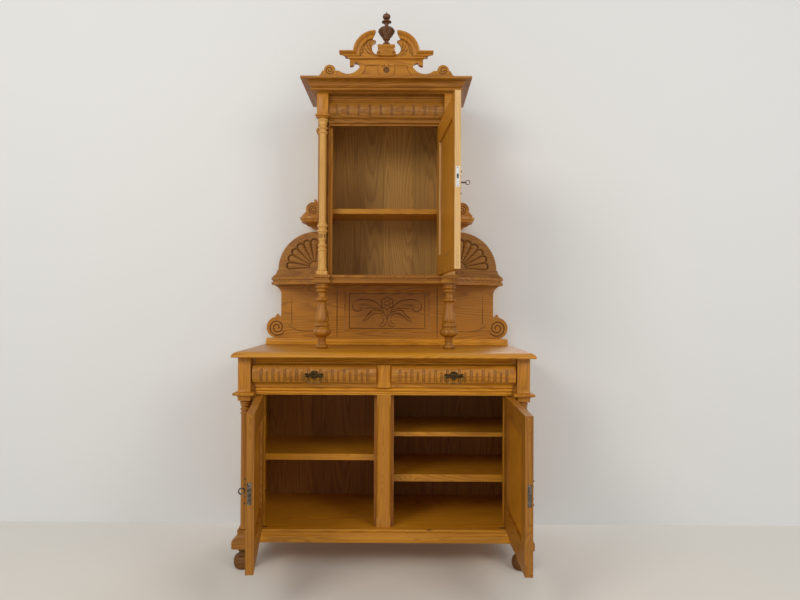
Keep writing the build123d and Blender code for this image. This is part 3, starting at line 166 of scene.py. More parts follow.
# %% Where a point lies in its board
def place_in_board(material, grain, turn):
    """Object coordinates with the grain upright, shifted by the numbers on the board's faces;
    and the brightness of those numbers."""
    place = add_node(material, "ShaderNodeTexCoord").outputs["Object"]
    if turn:
        place = add_node(
            material,
            "ShaderNodeVectorRotate",
            {"Vector": place},
            {"Angle": -turn, "Axis": (0, 0, 1)},
            rotation_type="AXIS_ANGLE",
        ).outputs["Vector"]
    upright = {"X": (0, -pi / 2, 0), "Y": (pi / 2, 0, 0), "Z": (0, 0, 0)}[grain]
    place = add_node(material, "ShaderNodeMapping", {"Vector": place}, {"Rotation": upright})
    board = add_node(material, "ShaderNodeAttribute", attribute_name="board")
    shift = add_node(
        material,
        "ShaderNodeVectorMath",
        {0: board.outputs["Vector"]},
        {1: board_shift},
        operation="MULTIPLY",
    )
    place = add_node(
        material,
        "ShaderNodeVectorMath",
        {0: place.outputs["Vector"], 1: shift.outputs["Vector"]},
        operation="ADD",
    )
    return place.outputs["Vector"], board.outputs["Fac"]


print("board numbers move the figure by up to", max(board_shift), "m")


# %% Knots
def knots_in(material, place, coarse):
    """How much the lines bend at a point, and how dark it is, by the nearest of scattered knots."""
    oval_place = add_node(
        material, "ShaderNodeMapping", {"Vector": place}, {"Scale": (1, 1, knot_stretch)}
    ).outputs["Vector"]
    away = add_node(
        material, "ShaderNodeTexVoronoi", {"Vector": oval_place}, {"Scale": 1 / knot_spacing}
    ).outputs["Distance"]
    start, end = (coarse * radius / knot_spacing for radius in knot_heart)
    bend = add_node(
        material,
        "ShaderNodeMapRange",
        {"Value": away},
        {
            "From Min": start,
            "From Max": knot_reach / knot_spacing,
            "To Min": knot_bend,
            "To Max": 0.0,
        },
        interpolation_type="SMOOTHSTEP",
    ).outputs["Result"]
    heart = add_node(
        material,
        "ShaderNodeMapRange",
        {"Value": away},
        {"From Min": start, "From Max": end, "To Min": knot_dark, "To Max": 0.0},
        interpolation_type="SMOOTHSTEP",
    ).outputs["Result"]
    return bend, heart


print("a knot's heart is up to", round(2 * knot_heart[1] / mm), "mm wide")


# %% Lines of late wood
def growth_lines(material, along, bend, early, late):
    """Contour lines of a slow swell that rises towards a knot."""
    swell = add_node(
        material,
        "ShaderNodeTexNoise",
        {"Vector": along},
        {"Scale": 1 / figure_size, "Detail": 2.0, "Roughness": 0.4, "Distortion": 0.3},
    ).outputs["Fac"]
    risen = add_node(
        material, "ShaderNodeMath", {0: bend, 1: swell}, operation="MULTIPLY"
    ).outputs["Value"]
    height = add_node(
        material, "ShaderNodeMath", {0: risen, 1: swell}, operation="ADD"
    ).outputs["Value"]
    rings = add_node(
        material,
        "ShaderNodeMath",
        {0: height},
        {1: 1.6 * figure_size / ring_spacing},
        operation="MULTIPLY",
    ).outputs["Value"]
    rings = add_node(material, "ShaderNodeMath", {0: rings}, operation="FRACT").outputs["Value"]
    figure = add_node(material, "ShaderNodeValToRGB", {"Fac": rings})
    set_stops(figure, [(0.0, early), (0.35, early), (0.85, late), (1.0, early)])
    return figure.outputs["Color"]


print("a line of late wood every", round(ring_spacing / mm), "mm")


# %% Light and dark of the wood
def wood_tone(material, along, fibres, board_value):
    """Product of the tones of the fibres, of the patina and of the whole board."""
    fibre_tone = add_node(
        material, "ShaderNodeMapRange", {"Value": fibres}, drift
    ).outputs["Result"]
    patina = add_node(
        material, "ShaderNodeTexNoise", {"Vector": along}, {"Scale": 3.0, "Detail": 2.0}
    ).outputs["Fac"]
    patina_tone = add_node(
        material, "ShaderNodeMapRange", {"Value": patina}, drift
    ).outputs["Result"]
    drifting = add_node(
        material, "ShaderNodeMath", {0: fibre_tone, 1: patina_tone}, operation="MULTIPLY"
    ).outputs["Value"]
    board_tone = add_node(
        material,
        "ShaderNodeMapRange",
        {"Value": board_value},
        {"To Min": 0.93, "To Max": 1.07},
    ).outputs["Result"]
    return add_node(
        material, "ShaderNodeMath", {0: drifting, 1: board_tone}, operation="MULTIPLY"
    ).outputs["Value"]


print("a tone drifts between", drift["To Min"], "and", drift["To Max"])


# %% The recipe for pine
def pine(tone, grain, turn=0.0):
    """Pine whose grain runs along grain ("X", "Y" or "Z"), after a turn about the upright."""
    name = f"waxed_pine_{tone}_{grain}" + (f"_{round(degrees(turn))}" if turn else "")
    if name in bpy.data.materials:
        return bpy.data.materials[name]
    early, late, knot, rough = TONES[tone]
    material, output = new_material(name)
    place, board_value = place_in_board(material, grain, turn)
    along = add_node(
        material, "ShaderNodeMapping", {"Vector": place}, {"Scale": (1, 1, grain_stretch)}
    ).outputs["Vector"]
    bend, heart = knots_in(material, place, coarse_knots if tone == "back_painted_light" else 1.0)
    figure = growth_lines(material, along, bend, early, late)
    fibre_place = add_node(
        material, "ShaderNodeMapping", {"Vector": place}, {"Scale": (1, 1, fibre_stretch)}
    ).outputs["Vector"]
    fibres = add_node(
        material,
        "ShaderNodeTexNoise",
        {"Vector": fibre_place},
        {"Scale": 1 / fibre_width, "Detail": 3.0, "Roughness": 0.6},
    ).outputs["Fac"]
    wood = add_node(
        material,
        "ShaderNodeVectorMath",
        {0: figure, "Scale": wood_tone(material, along, fibres, board_value)},
        operation="SCALE",
    ).outputs["Vector"]
    # the colour sockets of a Mix node are its sixth and seventh
    colour = add_node(
        material,
        "ShaderNodeMix",
        {0: heart, 6: wood},
        {7: linear(knot)},
        data_type="RGBA",
    )
    sheen = add_node(
        material,
        "ShaderNodeMapRange",
        {"Value": fibres},
        {"To Min": rough - 0.08, "To Max": rough + 0.10},
    ).outputs["Result"]
    relief = add_node(
        material,
        "ShaderNodeBump",
        {"Height": fibres},
        {"Strength": 0.25, "Distance": relief_depth},
    ).outputs["Normal"]
    surface = add_node(
        material,
        "ShaderNodeBsdfPrincipled",
        {"Base Color": colour.outputs[2], "Roughness": sheen, "Normal": relief},
        {"Specular IOR Level": 0.4},
    )
    material.node_tree.links.new(surface.outputs["BSDF"], output.inputs["Surface"])
    return material


print("first material:", pine("honey", "X").name)


# %% [markdown]
# ## Metals
# The ironwork is plain iron gone dark, cast brass with a brown patina on the handles and
# escutcheons, and one lock plate that was renewed in bright nickel, whose near-white colour is
# partly a painted highlight. A metal keeps its default IOR: its colour and roughness carry the
# look. Wear shows as a slow noise that lightens high spots.


# %% A recipe for worn metal
def worn_metal(name, dark, bright, rough, wear_size):
    """Metal whose colour drifts between dark and bright over patches of wear_size."""
    material, output = new_material(name)
    place = add_node(material, "ShaderNodeTexCoord").outputs["Object"]
    patches = add_node(
        material,
        "ShaderNodeTexNoise",
        {"Vector": place},
        {"Scale": 1 / wear_size, "Detail": 4.0, "Roughness": 0.6},
    ).outputs["Fac"]
    colour = add_node(material, "ShaderNodeValToRGB", {"Fac": patches})
    set_stops(colour, [(0.38, dark), (0.66, bright)])
    roughness = add_node(
        material,
        "ShaderNodeMapRange",
        {"Value": patches},
        {"From Min": 0.3, "From Max": 0.7, "To Min": rough + 0.1, "To Max": rough - 0.08},
    ).outputs["Result"]
    surface = add_node(
        material,
        "ShaderNodeBsdfPrincipled",
        {"Base Color": colour.outputs["Color"], "Roughness": roughness},
        {"Metallic": 1.0},
    )
    material.node_tree.links.new(surface.outputs["BSDF"], output.inputs["Surface"])
    return material


dark_iron = worn_metal("dark_wrought_iron", "#4A423B", "#8A8278", 0.45, 14 * mm)
dark_bronze = worn_metal("dark_bronze_casting", "#2C2214", "#6E5A36", 0.45, 7 * mm)
patinated_brass = worn_metal("patinated_cast_brass", "#5E4B2C", "#A88C58", 0.40, 9 * mm)
# the nickel's near-white colour is partly a painted highlight
nickel_with_painted_highlight = worn_metal("bright_nickel_plate", "#DAD8D2", "#F6F4EF", 0.34, 20 * mm)
bright_steel = worn_metal("filed_steel_screw", "#8D877E", "#C9C4BA", 0.35, 5 * mm)
METALS = {"dark_steel": dark_iron, "bronze": patinated_brass, "nickel": nickel_with_painted_highlight}
print("metals:", [m.name for m in (dark_iron, patinated_brass, nickel_with_painted_highlight, bright_steel)])

# %% [markdown]
# ## The doors
# The three doors stand open. What swings with a door is told by one table: which way the door
# reaches from its pivot, where the pivot stands, how far the door is turned, how wide it is past
# the pivot, between which heights its lock plate sits, and the height of its escutcheon with the
# depth of the escutcheon's front.

# %% Table of the doors
Door = namedtuple("Door", "hand pivot opening width plate escutcheon")  # in mm and degrees
DOORS = {
    "left_door": Door(1, (-503, 12), -81.2, 474.0, (386, 460), (425, -14.5)),
    "right_door": Door(-1, (503, 12), 88.9, 474.0, (386, 460), (425, -14.5)),
    "upper_door": Door(-1, (233, 183), 94.2, 477.0, (1472, 1547), (1494, -13.5)),
}


def door_matrix(door):
    """Carries shapes drawn about a shut door's pivot to the open door."""
    x, y = door.pivot
    return Matrix.Translation((x * mm, y * mm, 0)) @ Matrix.Rotation(radians(door.opening), 4, "Z")


print("doors open by", [door.opening for door in DOORS.values()], "degrees")

# %% [markdown]
# ## Boards with their own grain
# A CAD node may hold several boards, such as a door's stiles and rails. Each board is a separate
# shell of the mesh, so the shells are found by walking over joined faces. The longest side of a
# shell tells which way its grain runs. A random number goes on its faces, and the pine recipe reads
# it to shift the figure. Then sharp edges get a small bevel, because a waxed edge is never razor
# sharp, and the bevel is what catches the light.

# %% Which tone each board has
TONE_OF_SLOT = {
    "pine_front": "front",
    "pine_inside": "dusky",
    "pine_back": "brown",
    "dark_wood": "walnut",
}
TONE_OF_NODE = {
    "worktop": "honey",
    "drawer_frame": "honey",
    "plinth": "honey",
    "gallery_foot": "honey",
    # the lower shelves, with the floor of the case, take the light honey tone as painted light that
    # comes in through the open doors
    "lower_shelves": "honey",
    "upper_shelf": "honey",
    "bottom_board": "honey",
    "console_board": "amber",
    "left_door_frame": "amber",
    "right_door_frame": "amber",
    "lower_columns": "amber",
    "feet": "grime_and_shade",
    "balusters": "amber",
    "cornice": "amber",
    "frieze": "amber",
    "crown_board": "front",
    "upper_columns": "straw",
    "upper_door_frame": "front",
    "upper_carcase": "honey",
    "gallery_back": "front",
    "upper_back": "back_painted_light",
    "lower_back": "dusky",
}


print(len(TONE_OF_NODE), "nodes with a tone of their own")


# %% Boards of a node and the way their grain runs
def shells_of(mesh):
    """Groups of faces that hang together, in the order of their first faces."""
    seen = set()
    groups = []
    for first in mesh.faces:
        if first in seen:
            continue
        seen.add(first)
        group = [first]
        for face in group:  # grows while it is walked over
            for edge in face.edges:
                for other in edge.link_faces:
                    if other not in seen:
                        seen.add(other)
                        group.append(other)
        groups.append(group)
    return groups


def box_round(points):
    """Lowest and highest corner of the box round some points."""
    return tuple(Vector([end(p[i] for p in points) for i in range(3)]) for end in (min, max))


def grain_of(points, turn):
    """Axis along which points spread furthest, after a turn about the upright."""
    back = Matrix.Rotation(-turn, 3, "Z")
    low, high = box_round([back @ point for point in points])
    spans = list(high - low)
    return "XYZ"[spans.index(max(spans))]


def board_number(centre):
    """A number between 0 and 1 that differs from board to board."""
    value = sin(centre.x * 127.1 + centre.y * 311.7 + centre.z * 74.7) * 43758.5453
    return value - int(value) if value >= 0 else value - int(value) + 1


print("number of a board at the origin:", board_number(Vector()))

# %% Meshes and objects
smooth_up_to = radians(35)  # sharper edges than this stay hard
soften_from = radians(38)  # sharper edges than this get a small bevel
facet_noise = radians(0.4)  # triangles of one flat face differ by less
hair = 0.002 * mm  # points closer than this are one point


def heal(mesh):
    """Join doubled points and drop the slivers between them."""
    bmesh.ops.remove_doubles(mesh, verts=mesh.verts, dist=hair)
    bmesh.ops.dissolve_degenerate(mesh, edges=mesh.edges, dist=hair)


def finish_mesh(mesh, name, materials):
    """Object made from a bmesh, smooth over its soft edges."""
    heal(mesh)
    data = bpy.data.meshes.new(name)
    mesh.to_mesh(data)
    mesh.free()
    data.shade_smooth()
    data.set_sharp_from_angle(angle=smooth_up_to)
    for material in materials:
        data.materials.append(material)
    made = bpy.data.objects.new(name, data)
    bpy.context.scene.collection.objects.link(made)
    return made


def merged_copy(node):
    """Bmesh of a CAD node with its corners joined and its flat faces whole."""
    mesh = bmesh.new()
    mesh.from_mesh(nodes[node].data)
    bmesh.ops.remove_doubles(mesh, verts=mesh.verts, dist=hair / 2)
    bmesh.ops.dissolve_limit(
        mesh, angle_limit=facet_noise, verts=mesh.verts, edges=mesh.edges, delimit={"NORMAL"}
    )
    return mesh


def soften(mesh, edge):
    """Bevel the sharp edges, as years of handling do."""
    sharp = [e for e in mesh.edges if e.is_manifold and e.calc_face_angle(0.0) > soften_from]
    bmesh.ops.bevel(
        mesh,
        geom=sharp,
        offset=edge,
        offset_type="OFFSET",
        affect="EDGES",
        segments=1,
        profile=0.5,
        material=-1,
        clamp_overlap=True,
    )


def stand_for(mesh, node, name, materials):
    """Finished piece that takes the place of a CAD node, on the node's body."""
    made = finish_mesh(mesh, name, materials)
    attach(made, body_of[node])
    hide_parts(node)
    return made


print("edges under", round(degrees(smooth_up_to)), "degrees are smooth")

# %% Turn CAD nodes into boards
worn_edge = 0.8 * mm


def index_of(material, materials):
    """Slot of a material in a list that grows when it is new."""
    if material not in materials:
        materials.append(material)
    return materials.index(material)


def boards_from(node):
    """Wooden copy of a CAD node, which it stands for."""
    tone = TONE_OF_NODE.get(node, TONE_OF_SLOT[slot_of[node]])
    door = DOORS.get(node.rsplit("_", 1)[0])
    turn = radians(door.opening) if door else 0.0
    mesh = merged_copy(node)
    number = mesh.faces.layers.float_vector.new("board")
    materials = []
    for shell in shells_of(mesh):
        points = [vert.co for face in shell for vert in face.verts]
        low, high = box_round(points)
        centre = (low + high) / 2
        grain = grain_of(points, turn)
        grain_turn = 0.0 if grain == "Z" else turn
        material = pine(tone, grain, grain_turn)
        value = board_number(centre)
        for face in shell:
            face[number] = (value, (value * 7.13) % 1.0, (value * 3.77) % 1.0)
            face.material_index = index_of(material, materials)
            if node == "upper_door_frame" and face.normal.y < -0.95:
                # its free edge, which wax hardly reached
                face.material_index = index_of(pine("pale", grain, grain_turn), materials)
    soften(mesh, worn_edge)
    return stand_for(mesh, node, f"{node}_wood", materials)


wood = {}
for node, slot in slot_of.items():
    if slot in TONE_OF_SLOT:
        wood[node] = boards_from(node)
    else:
        nodes[node].data.materials.clear()
        nodes[node].data.materials.append(METALS[slot])
print(len(wood), "wooden nodes,", len(nodes) - len(wood), "metal nodes")

# %% [markdown]
# ## Carving
# A carver pushes a gouge along a drawn line, and it leaves a round-bottomed groove that narrows to
# a point where the tool comes out. Here a curve with a round bevel stands for the gouge's path, and
# the radius of each of its points for how wide the cut is there. The tube is squashed towards the
# face of the board, so that its depth is a share of its width, and a Boolean modifier takes it out
# of the wood. Raised work, such as the ribs of a shell, is the same tube added instead.

# %% Strokes of a gouge
lift = 0.06 * mm  # keeps a tube's widest line out of the plane of the face
tube_seam = 0.01 * mm  # points of a tube closer than this are one point


def gouge(strokes, face, flat, handles="AUTO"):
    """Closed tubes along strokes of (x, z, width) in mm. The function face gives the y of the board
    at a height, flat is the share of a tube's radius that reaches into it, and VECTOR handles keep
    corners."""
    path = bpy.data.curves.new("gouge_path", "CURVE")
    path.dimensions = "3D"
    path.bevel_depth = 1.0
    path.bevel_resolution = 3
    path.resolution_u = 5
    path.use_fill_caps = True
    for stroke in strokes:
        spline = path.splines.new("BEZIER")
        spline.bezier_points.add(len(stroke) - 1)
        for point, (x, z, width) in zip(spline.bezier_points, stroke):
            point.co = (x * mm, face(z) * mm, z * mm)
            point.radius = width / 2 * mm
            point.handle_left_type = point.handle_right_type = handles
    holder = bpy.data.objects.new("gouge_path", path)
    tubes = bmesh.new()
    tubes.from_mesh(holder.to_mesh())
    bpy.data.objects.remove(holder)
    bmesh.ops.remove_doubles(tubes, verts=tubes.verts, dist=tube_seam)
    for vert in tubes.verts:
        level = face(vert.co.z / mm) * mm
        vert.co.y = level + (vert.co.y - level) * flat - lift
    bmesh.ops.recalc_face_normals(tubes, faces=tubes.faces)
    return tubes


def both_sides(strokes):
    """The strokes and their mirror images."""
    return strokes + [[(-x, z, width) for x, z, width in stroke] for stroke in strokes]


def tapered(points, width, tip=0.2):
    """Stroke through (x, z) points that narrows to a share of its width at both ends."""
    last = len(points) - 1
    return [(x, z, width * (tip if i in (0, last) else 1)) for i, (x, z) in enumerate(points)]


def flat_face(y):
    """A face that stands upright at y."""
    return lambda z: y


def round_face(y, z, radius):
    """A swelling face: an arc about (y, z) that bulges to the front."""
    return lambda height: y - sqrt(max(radius**2 - (height - z) ** 2, 1.0))  # never a root of < 0


print("a stroke 4 mm wide:", tapered([(0, 0), (5, 0), (10, 0)], 4))

# %% Sunk fields
stand_out = 2  # mm of a cutter that stay in front of the board


def verts_of(geom):
    """The vertices among the things that an operator made."""
    return [item for item in geom if isinstance(item, bmesh.types.BMVert)]


def sheet_cut(outlines, front, depth):
    """Flat-bottomed recesses: each outline of (x, z) points is sunk from front (y) by depth."""
    cutter = bmesh.new()
    for outline in outlines:
        rim = [cutter.verts.new((x * mm, (front - stand_out) * mm, z * mm)) for x, z in outline]
        cap = cutter.faces.new(rim)
        grown = bmesh.ops.extrude_face_region(cutter, geom=[cap])["geom"]
        reach = (depth + stand_out) * mm
        bmesh.ops.translate(cutter, verts=verts_of(grown), vec=(0, reach, 0))
    bmesh.ops.recalc_face_normals(cutter, faces=cutter.faces)
    return cutter


print("a cutter starts", stand_out, "mm in front of its board")

# %% The cut itself
chip_size = 3 * mm  # loose crumbs smaller than this fall off
flat_from = 0.9999  # a normal this close to the y axis belongs to a flat face


def spread_of(shell):
    """Length of the box round a group of faces."""
    low, high = box_round([vert.co for face in shell for vert in face.verts])
    return (high - low).length


def carve(made, tool, material, operation="DIFFERENCE"):
    """Take a tool's shape out of a piece, or add it. New faces get the material."""
    number = tool.faces.layers.float_vector.new("board")
    stored = made.data.attributes.get("board")
    for face in tool.faces:
        face[number] = stored.data[0].vector if stored else (0.0, 0.0, 0.0)
    cutter = finish_mesh(tool, "tool", [material])
    step = made.modifiers.new("carving", "BOOLEAN")
    step.operation = operation
    step.solver = "EXACT"
    step.use_self = True
    step.material_mode = "TRANSFER"
    step.object = cutter
    ready = bpy.context.evaluated_depsgraph_get()
    result = bpy.data.meshes.new_from_object(made.evaluated_get(ready))
    made.modifiers.clear()
    made.data = result
    clean = bmesh.new()
    clean.from_mesh(result)
    heal(clean)
    chips = [shell for shell in shells_of(clean) if spread_of(shell) < chip_size]
    bmesh.ops.delete(clean, geom=[face for shell in chips for face in shell], context="FACES")
    clean.to_mesh(result)
    clean.free()
    result.set_sharp_from_angle(angle=smooth_up_to)
    for polygon in result.polygons:  # a board's flat face stays flat round its cuts
        polygon.use_smooth = abs(polygon.normal.y) < flat_from
    bpy.data.objects.remove(cutter)
    return len(result.polygons)


wax_and_shade_lining = pine("grime_and_shade", "X")  # the dark lining of the narrow cuts is painted shade in them, with some old wax
rib_wood = pine("brown", "X")
print("cuts are lined with", wax_and_shade_lining.name)

# %% [markdown]
# ## Fluted drawers and frieze
# The swelling drawer fronts and the frieze carry upright flutes with arched heads. Between the long
# flutes of a drawer stand shorter ones. A flute follows the swell of its board, so its path is
# drawn on the same arc as the board. Each flute is cut twice: a wide shallow cut lined in a dark
# tone, which is painted shade with some old wax, then the deep one inside it, lined in a tone
# darker than its board as painted shade.

# %% Flutes
drawer_face = round_face(40.6, 767.4, 66.6)
frieze_face = round_face(199.5, 1887.5, 49.5)
drawer_middle = 277.0
drawer_pitch = 47.3
frieze_pitch = 47.0
wide_cut = (1.6, 0.3)  # how much wider than the flute, and its depth as a share
deep_cut = (0, 0.7)


def flute(x, low, high, width):
    """Upright stroke with a round head and foot."""
    reach = width / 2
    heights = (low, low + reach, (low + high) / 2, high - reach, high - reach * 0.3, high)
    return [(x, z, width * share) for z, share in zip(heights, (0.3, 1, 1, 1, 0.7, 0.15))]


for side, name in ((-1, "left"), (1, "right")):
    middle = side * drawer_middle
    front = wood[f"{name}_drawer_front"]
    # the deep flutes of a drawer are lined in a tone darker than its front, as painted shade
    for (more, deep), lining in ((wide_cut, wax_and_shade_lining), (deep_cut, pine("amber", "Z"))):
        tall = [flute(middle + (i - 4.5) * drawer_pitch, 737, 794, 10 + more) for i in range(10)]
        short = [flute(middle + (i - 4) * drawer_pitch, 737, 782, 7 + more) for i in range(9)]
        faces = carve(front, gouge(tall + short, drawer_face, deep), lining)
    print(name, "drawer front:", faces, "faces")
for (more, deep), lining in ((wide_cut, wax_and_shade_lining), (deep_cut, pine("shaded", "Z"))):
    flutes = [flute((i - 4.5) * frieze_pitch, 1858, 1913, 8 + more) for i in range(10)]
    faces = carve(wood["frieze"], gouge(flutes, frieze_face, deep), lining)
print("frieze:", faces, "faces")

# %% [markdown]
# ## Shell boards
# Each shell is a fan of ribs that stand in a sunk field, and a bead runs round the ribs' ends. The
# field is sunk first. A rib is a tube that widens from the hinge of the fan to its rim, squashed so
# that its crest stays level with the board, and it is joined to the wood with a union.

# %% Shells
shell_hinge = (342.0, 1228.0)
shell_face = 449.0
fan_step = 17.0
fan_angles = [3.0 + fan_step * i for i in range(8)]
fan_deep = 5.0
hub_reach = 26
rib_widths = ((27, 5.5), (60, 15.5), (95, 25.5), (115, 31), (124, 28), (130, 14))  # reach, width
scallop = ((-8.5, 126), (-5.5, 134), (0, 137), (5.5, 134), (8.5, 126))  # degrees off a rib, reach
bead_width = 3.6
bead_start = 118
field_margin = 2.8  # of the sunk field, outside the bead's middle line
rib_flat = 0.31
bead_flat = 2.5


def on_fan(side, angle, reach):
    """Place on a shell, its angle counted in degrees upwards from the outer end."""
    turn = radians(angle)
    return side * (shell_hinge[0] + reach * cos(turn)), shell_hinge[1] + reach * sin(turn)


def shell_parts(side):
    """Sunk field, then ribs and bead, of one shell."""
    first, last = fan_angles[0] - fan_step / 2, fan_angles[-1] + fan_step / 2
    rim = [
        on_fan(side, angle + turn, reach + field_margin)
        for angle in fan_angles
        for turn, reach in scallop[:-1]
    ]
    rim.append(on_fan(side, last, scallop[-1][1] + field_margin))
    hub = [on_fan(side, last - (last - first) * i / 12, hub_reach) for i in range(13)]
    ribs = []
    bead = [(*on_fan(side, first, bead_start), bead_width)]
    for angle in fan_angles:
        ribs.append([(*on_fan(side, angle, reach), width) for reach, width in rib_widths])
        bead += [(*on_fan(side, angle + turn, reach), bead_width) for turn, reach in scallop]
    return rim + hub, ribs, bead


shell_boards = wood["shell_boards"]
for side in (-1, 1):
    field, ribs, bead = shell_parts(side)
    carve(shell_boards, sheet_cut([field], shell_face, fan_deep), wax_and_shade_lining)
    floor_face = flat_face(shell_face + fan_deep)
    carve(shell_boards, gouge(ribs, floor_face, rib_flat), rib_wood, "UNION")
    carve(shell_boards, gouge([bead], floor_face, bead_flat), rib_wood, "UNION")
leaves = [
    tapered([(342, 1218), (356, 1206), (372, 1196)], 5),
    tapered([(342, 1218), (328, 1206), (312, 1196)], 5),
    tapered([(342, 1212), (350, 1200), (354, 1190)], 4),
    tapered([(342, 1212), (334, 1200), (330, 1190)], 4),
]
tool = gouge(both_sides(leaves), flat_face(shell_face), 0.8)
print("shell boards:", carve(shell_boards, tool, wax_and_shade_lining), "faces")

# %% [markdown]
# ## Gallery back board
# The board between the stages has a rose with leaf scrolls in its sunk panel, lines that mark its
# stiles, and a spiral in the volute at either end. All of it is line carving: plain gouge strokes.

# %% Leaf scrolls of the gallery
line_depth = 0.8  # of a line, as a share of half its width
panel_face = flat_face(456.0)
board_face = flat_face(450.0)
leaf_scrolls = [
    tapered(points, width)
    for width, points in (
        (4, [(8, 1009), (23, 1032), (39, 1051), (63, 1068), (96, 1075), (132, 1075), (157, 1063)]),
        (
            4,
            [(157, 1063), (163, 1046), (158, 1028), (143, 1020), (126, 1025), (119, 1034)]
            + [(133, 1038)],
        ),
        (3.4, [(13, 1011), (33, 1029), (63, 1035), (100, 1035), (117, 1034)]),
        (2.6, [(46, 1041), (79, 1050), (112, 1050), (132, 1042)]),
        (
            4,
            [(3, 982), (10, 1002), (30, 1019), (53, 1025), (74, 1023), (82, 1012), (99, 993)]
            + [(119, 969)],
        ),
        (3.4, [(119, 969), (100, 977), (80, 996), (63, 1006), (40, 1011), (23, 1002), (16, 982)]),
        (3.4, [(16, 982), (18, 970), (29, 960), (42, 951)]),
        (4, [(2, 972), (10, 956), (26, 947), (42, 951)]),
    )
]
leaf_scrolls.append([(66, 986, 1), (68, 985, 6), (70, 984, 1)])  # a dot
gallery = wood["gallery_back"]
tool = gouge(both_sides(leaf_scrolls), panel_face, 0.75)
print("leaf scrolls:", carve(gallery, tool, wax_and_shade_lining), "faces")

# %% Rose of the gallery
rose_middle = 1059
lobe_edge = ((-30, 21), (-20, 27), (0, 30), (20, 27), (30, 21))  # degrees, reach


def on_rose(angle, reach):
    """Place at an angle in degrees and a reach from the rose's middle."""
    return reach * cos(radians(angle)), rose_middle + reach * sin(radians(angle))


rose = [tapered([(0, 1024), (0, 1005), (0, 985), (0, 962)], 4)]  # its stem
for turn in range(30, 390, 60):
    rose.append(tapered([on_rose(turn + off, reach) for off, reach in lobe_edge], 3.6, 0.5))
    rose.append(tapered([on_rose(turn + off, 12) for off in (-26, 0, 26)], 3, 0.5))
    rose.append(tapered([on_rose(turn + 30, reach) for reach in (14, 21)], 3))
print("rose:", carve(gallery, gouge(rose, panel_face, 0.75), wax_and_shade_lining), "faces")


# %% Frame and volutes of the gallery
def spiral(x, z, outer, inner, turns, width, start=0.0):
    """Stroke that winds inwards round (x, z); start is in degrees from the outer side."""
    count = round(turns * 12)
    stroke = []
    for i in range(count + 1):
        reach = outer + (inner - outer) * i / count
        angle = radians(start + 30 * i)
        stroke.append((x + reach * cos(angle), z + reach * sin(angle), width))
    stroke[0] = (*stroke[0][:2], width * 0.3)
    stroke[-1] = (*stroke[-1][:2], width * 0.5)
    return stroke


volutes = [spiral(521, 942, 40, 7, 2.1, 6, 200)]
corners = ((-179, 939), (179, 939), (179, 1104), (-179, 1104), (-179, 941.4))
tool = gouge([[(x, z, 4) for x, z in corners]], panel_face, line_depth, "VECTOR")
print("frame:", carve(gallery, tool, wax_and_shade_lining), "faces")
edges = [
    tapered([(470, 960), (455, 944), (440, 936), (420, 928), (300, 928), (243, 928)], 3),
    tapered([(237, 900), (237, 1000), (237, 1135)], 4.4, 0.6),
    tapered([(450, 952), (452, 970), (452, 1020), (452, 1100)], 3),
]
tool = gouge(both_sides(volutes + edges), board_face, line_depth)
print("volutes:", carve(gallery, tool, wax_and_shade_lining), "faces")

# %% [markdown]
# ## Crown and side consoles
# The crown board has two sunk panels with hollow ends, a roundel in the middle, a spiral in each
# volute, and petals inside the broken arches. The crests of the side consoles end in a spiral too,
# and the small pedestal under the urn has curls at its corners.

# %% Sunk panels of the crown
crown_front = 118.0
crown_sunk = 3
crown_face = flat_face(crown_front)
crown = wood["crown_board"]
panel = [(29, 2024), (35, 2036), (37, 2046), (35, 2057), (31, 2066), (88, 2062), (90, 2048)]
panel += [(95, 2036), (106, 2025)]
mirrored = [(-x, z) for x, z in panel]
tool = sheet_cut([panel, mirrored], crown_front, crown_sunk)
print("panels:", carve(crown, tool, pine("front", "X")), "faces")
around = [radians(20 * i) for i in range(18)]
roundel = [(13 * cos(angle), 2044 + 13 * sin(angle)) for angle in around]
tool = sheet_cut([roundel], crown_front, crown_sunk)
print("roundel:", carve(crown, tool, wax_and_shade_lining), "faces")

# %% Lines of the crown, the consoles and the pedestal
sprigs = [
    tapered([(10, 2053), (16, 2060), (24, 2064)], 4),
    tapered([(6, 2056), (9, 2064), (8, 2070)], 4),
]
spirals = [spiral(240, 2043, 18, 4, 1.6, 4, 190)]
petals = [
    tapered([(108, 2103), (107, 2113), (99, 2121), (101, 2130), (93, 2138)], 3.5, 0.5),
    tapered([(93, 2138), (95, 2148), (84, 2156)], 3.5, 0.5),
    tapered([(84, 2156), (82, 2166), (72, 2171), (62, 2172), (52, 2166)], 3.5, 0.5),
    tapered([(93, 2138), (84, 2124), (70, 2112), (54, 2106)], 3.5),
    tapered([(84, 2156), (79, 2140), (68, 2124), (54, 2111)], 3.5),
    tapered([(66, 2166), (70, 2150), (64, 2132), (54, 2118)], 3.5),
]
rims = both_sides([[(x, z, 2.4) for x, z in panel + panel[:1]]])
carve(crown, gouge(rims, crown_face, line_depth, "VECTOR"), wax_and_shade_lining)
tool = gouge(both_sides(sprigs + spirals + petals), crown_face, line_depth)
print("crown:", carve(crown, tool, wax_and_shade_lining), "faces")

crest = [spiral(351, 1501, 22, 4, 1.9, 4, 200), spiral(351, 1501, 28, 27, 0.5, 2.5, 0)]
tool = gouge(both_sides(crest), flat_face(430.0), line_depth)
print("consoles:", carve(wood["side_consoles"], tool, wax_and_shade_lining), "faces")

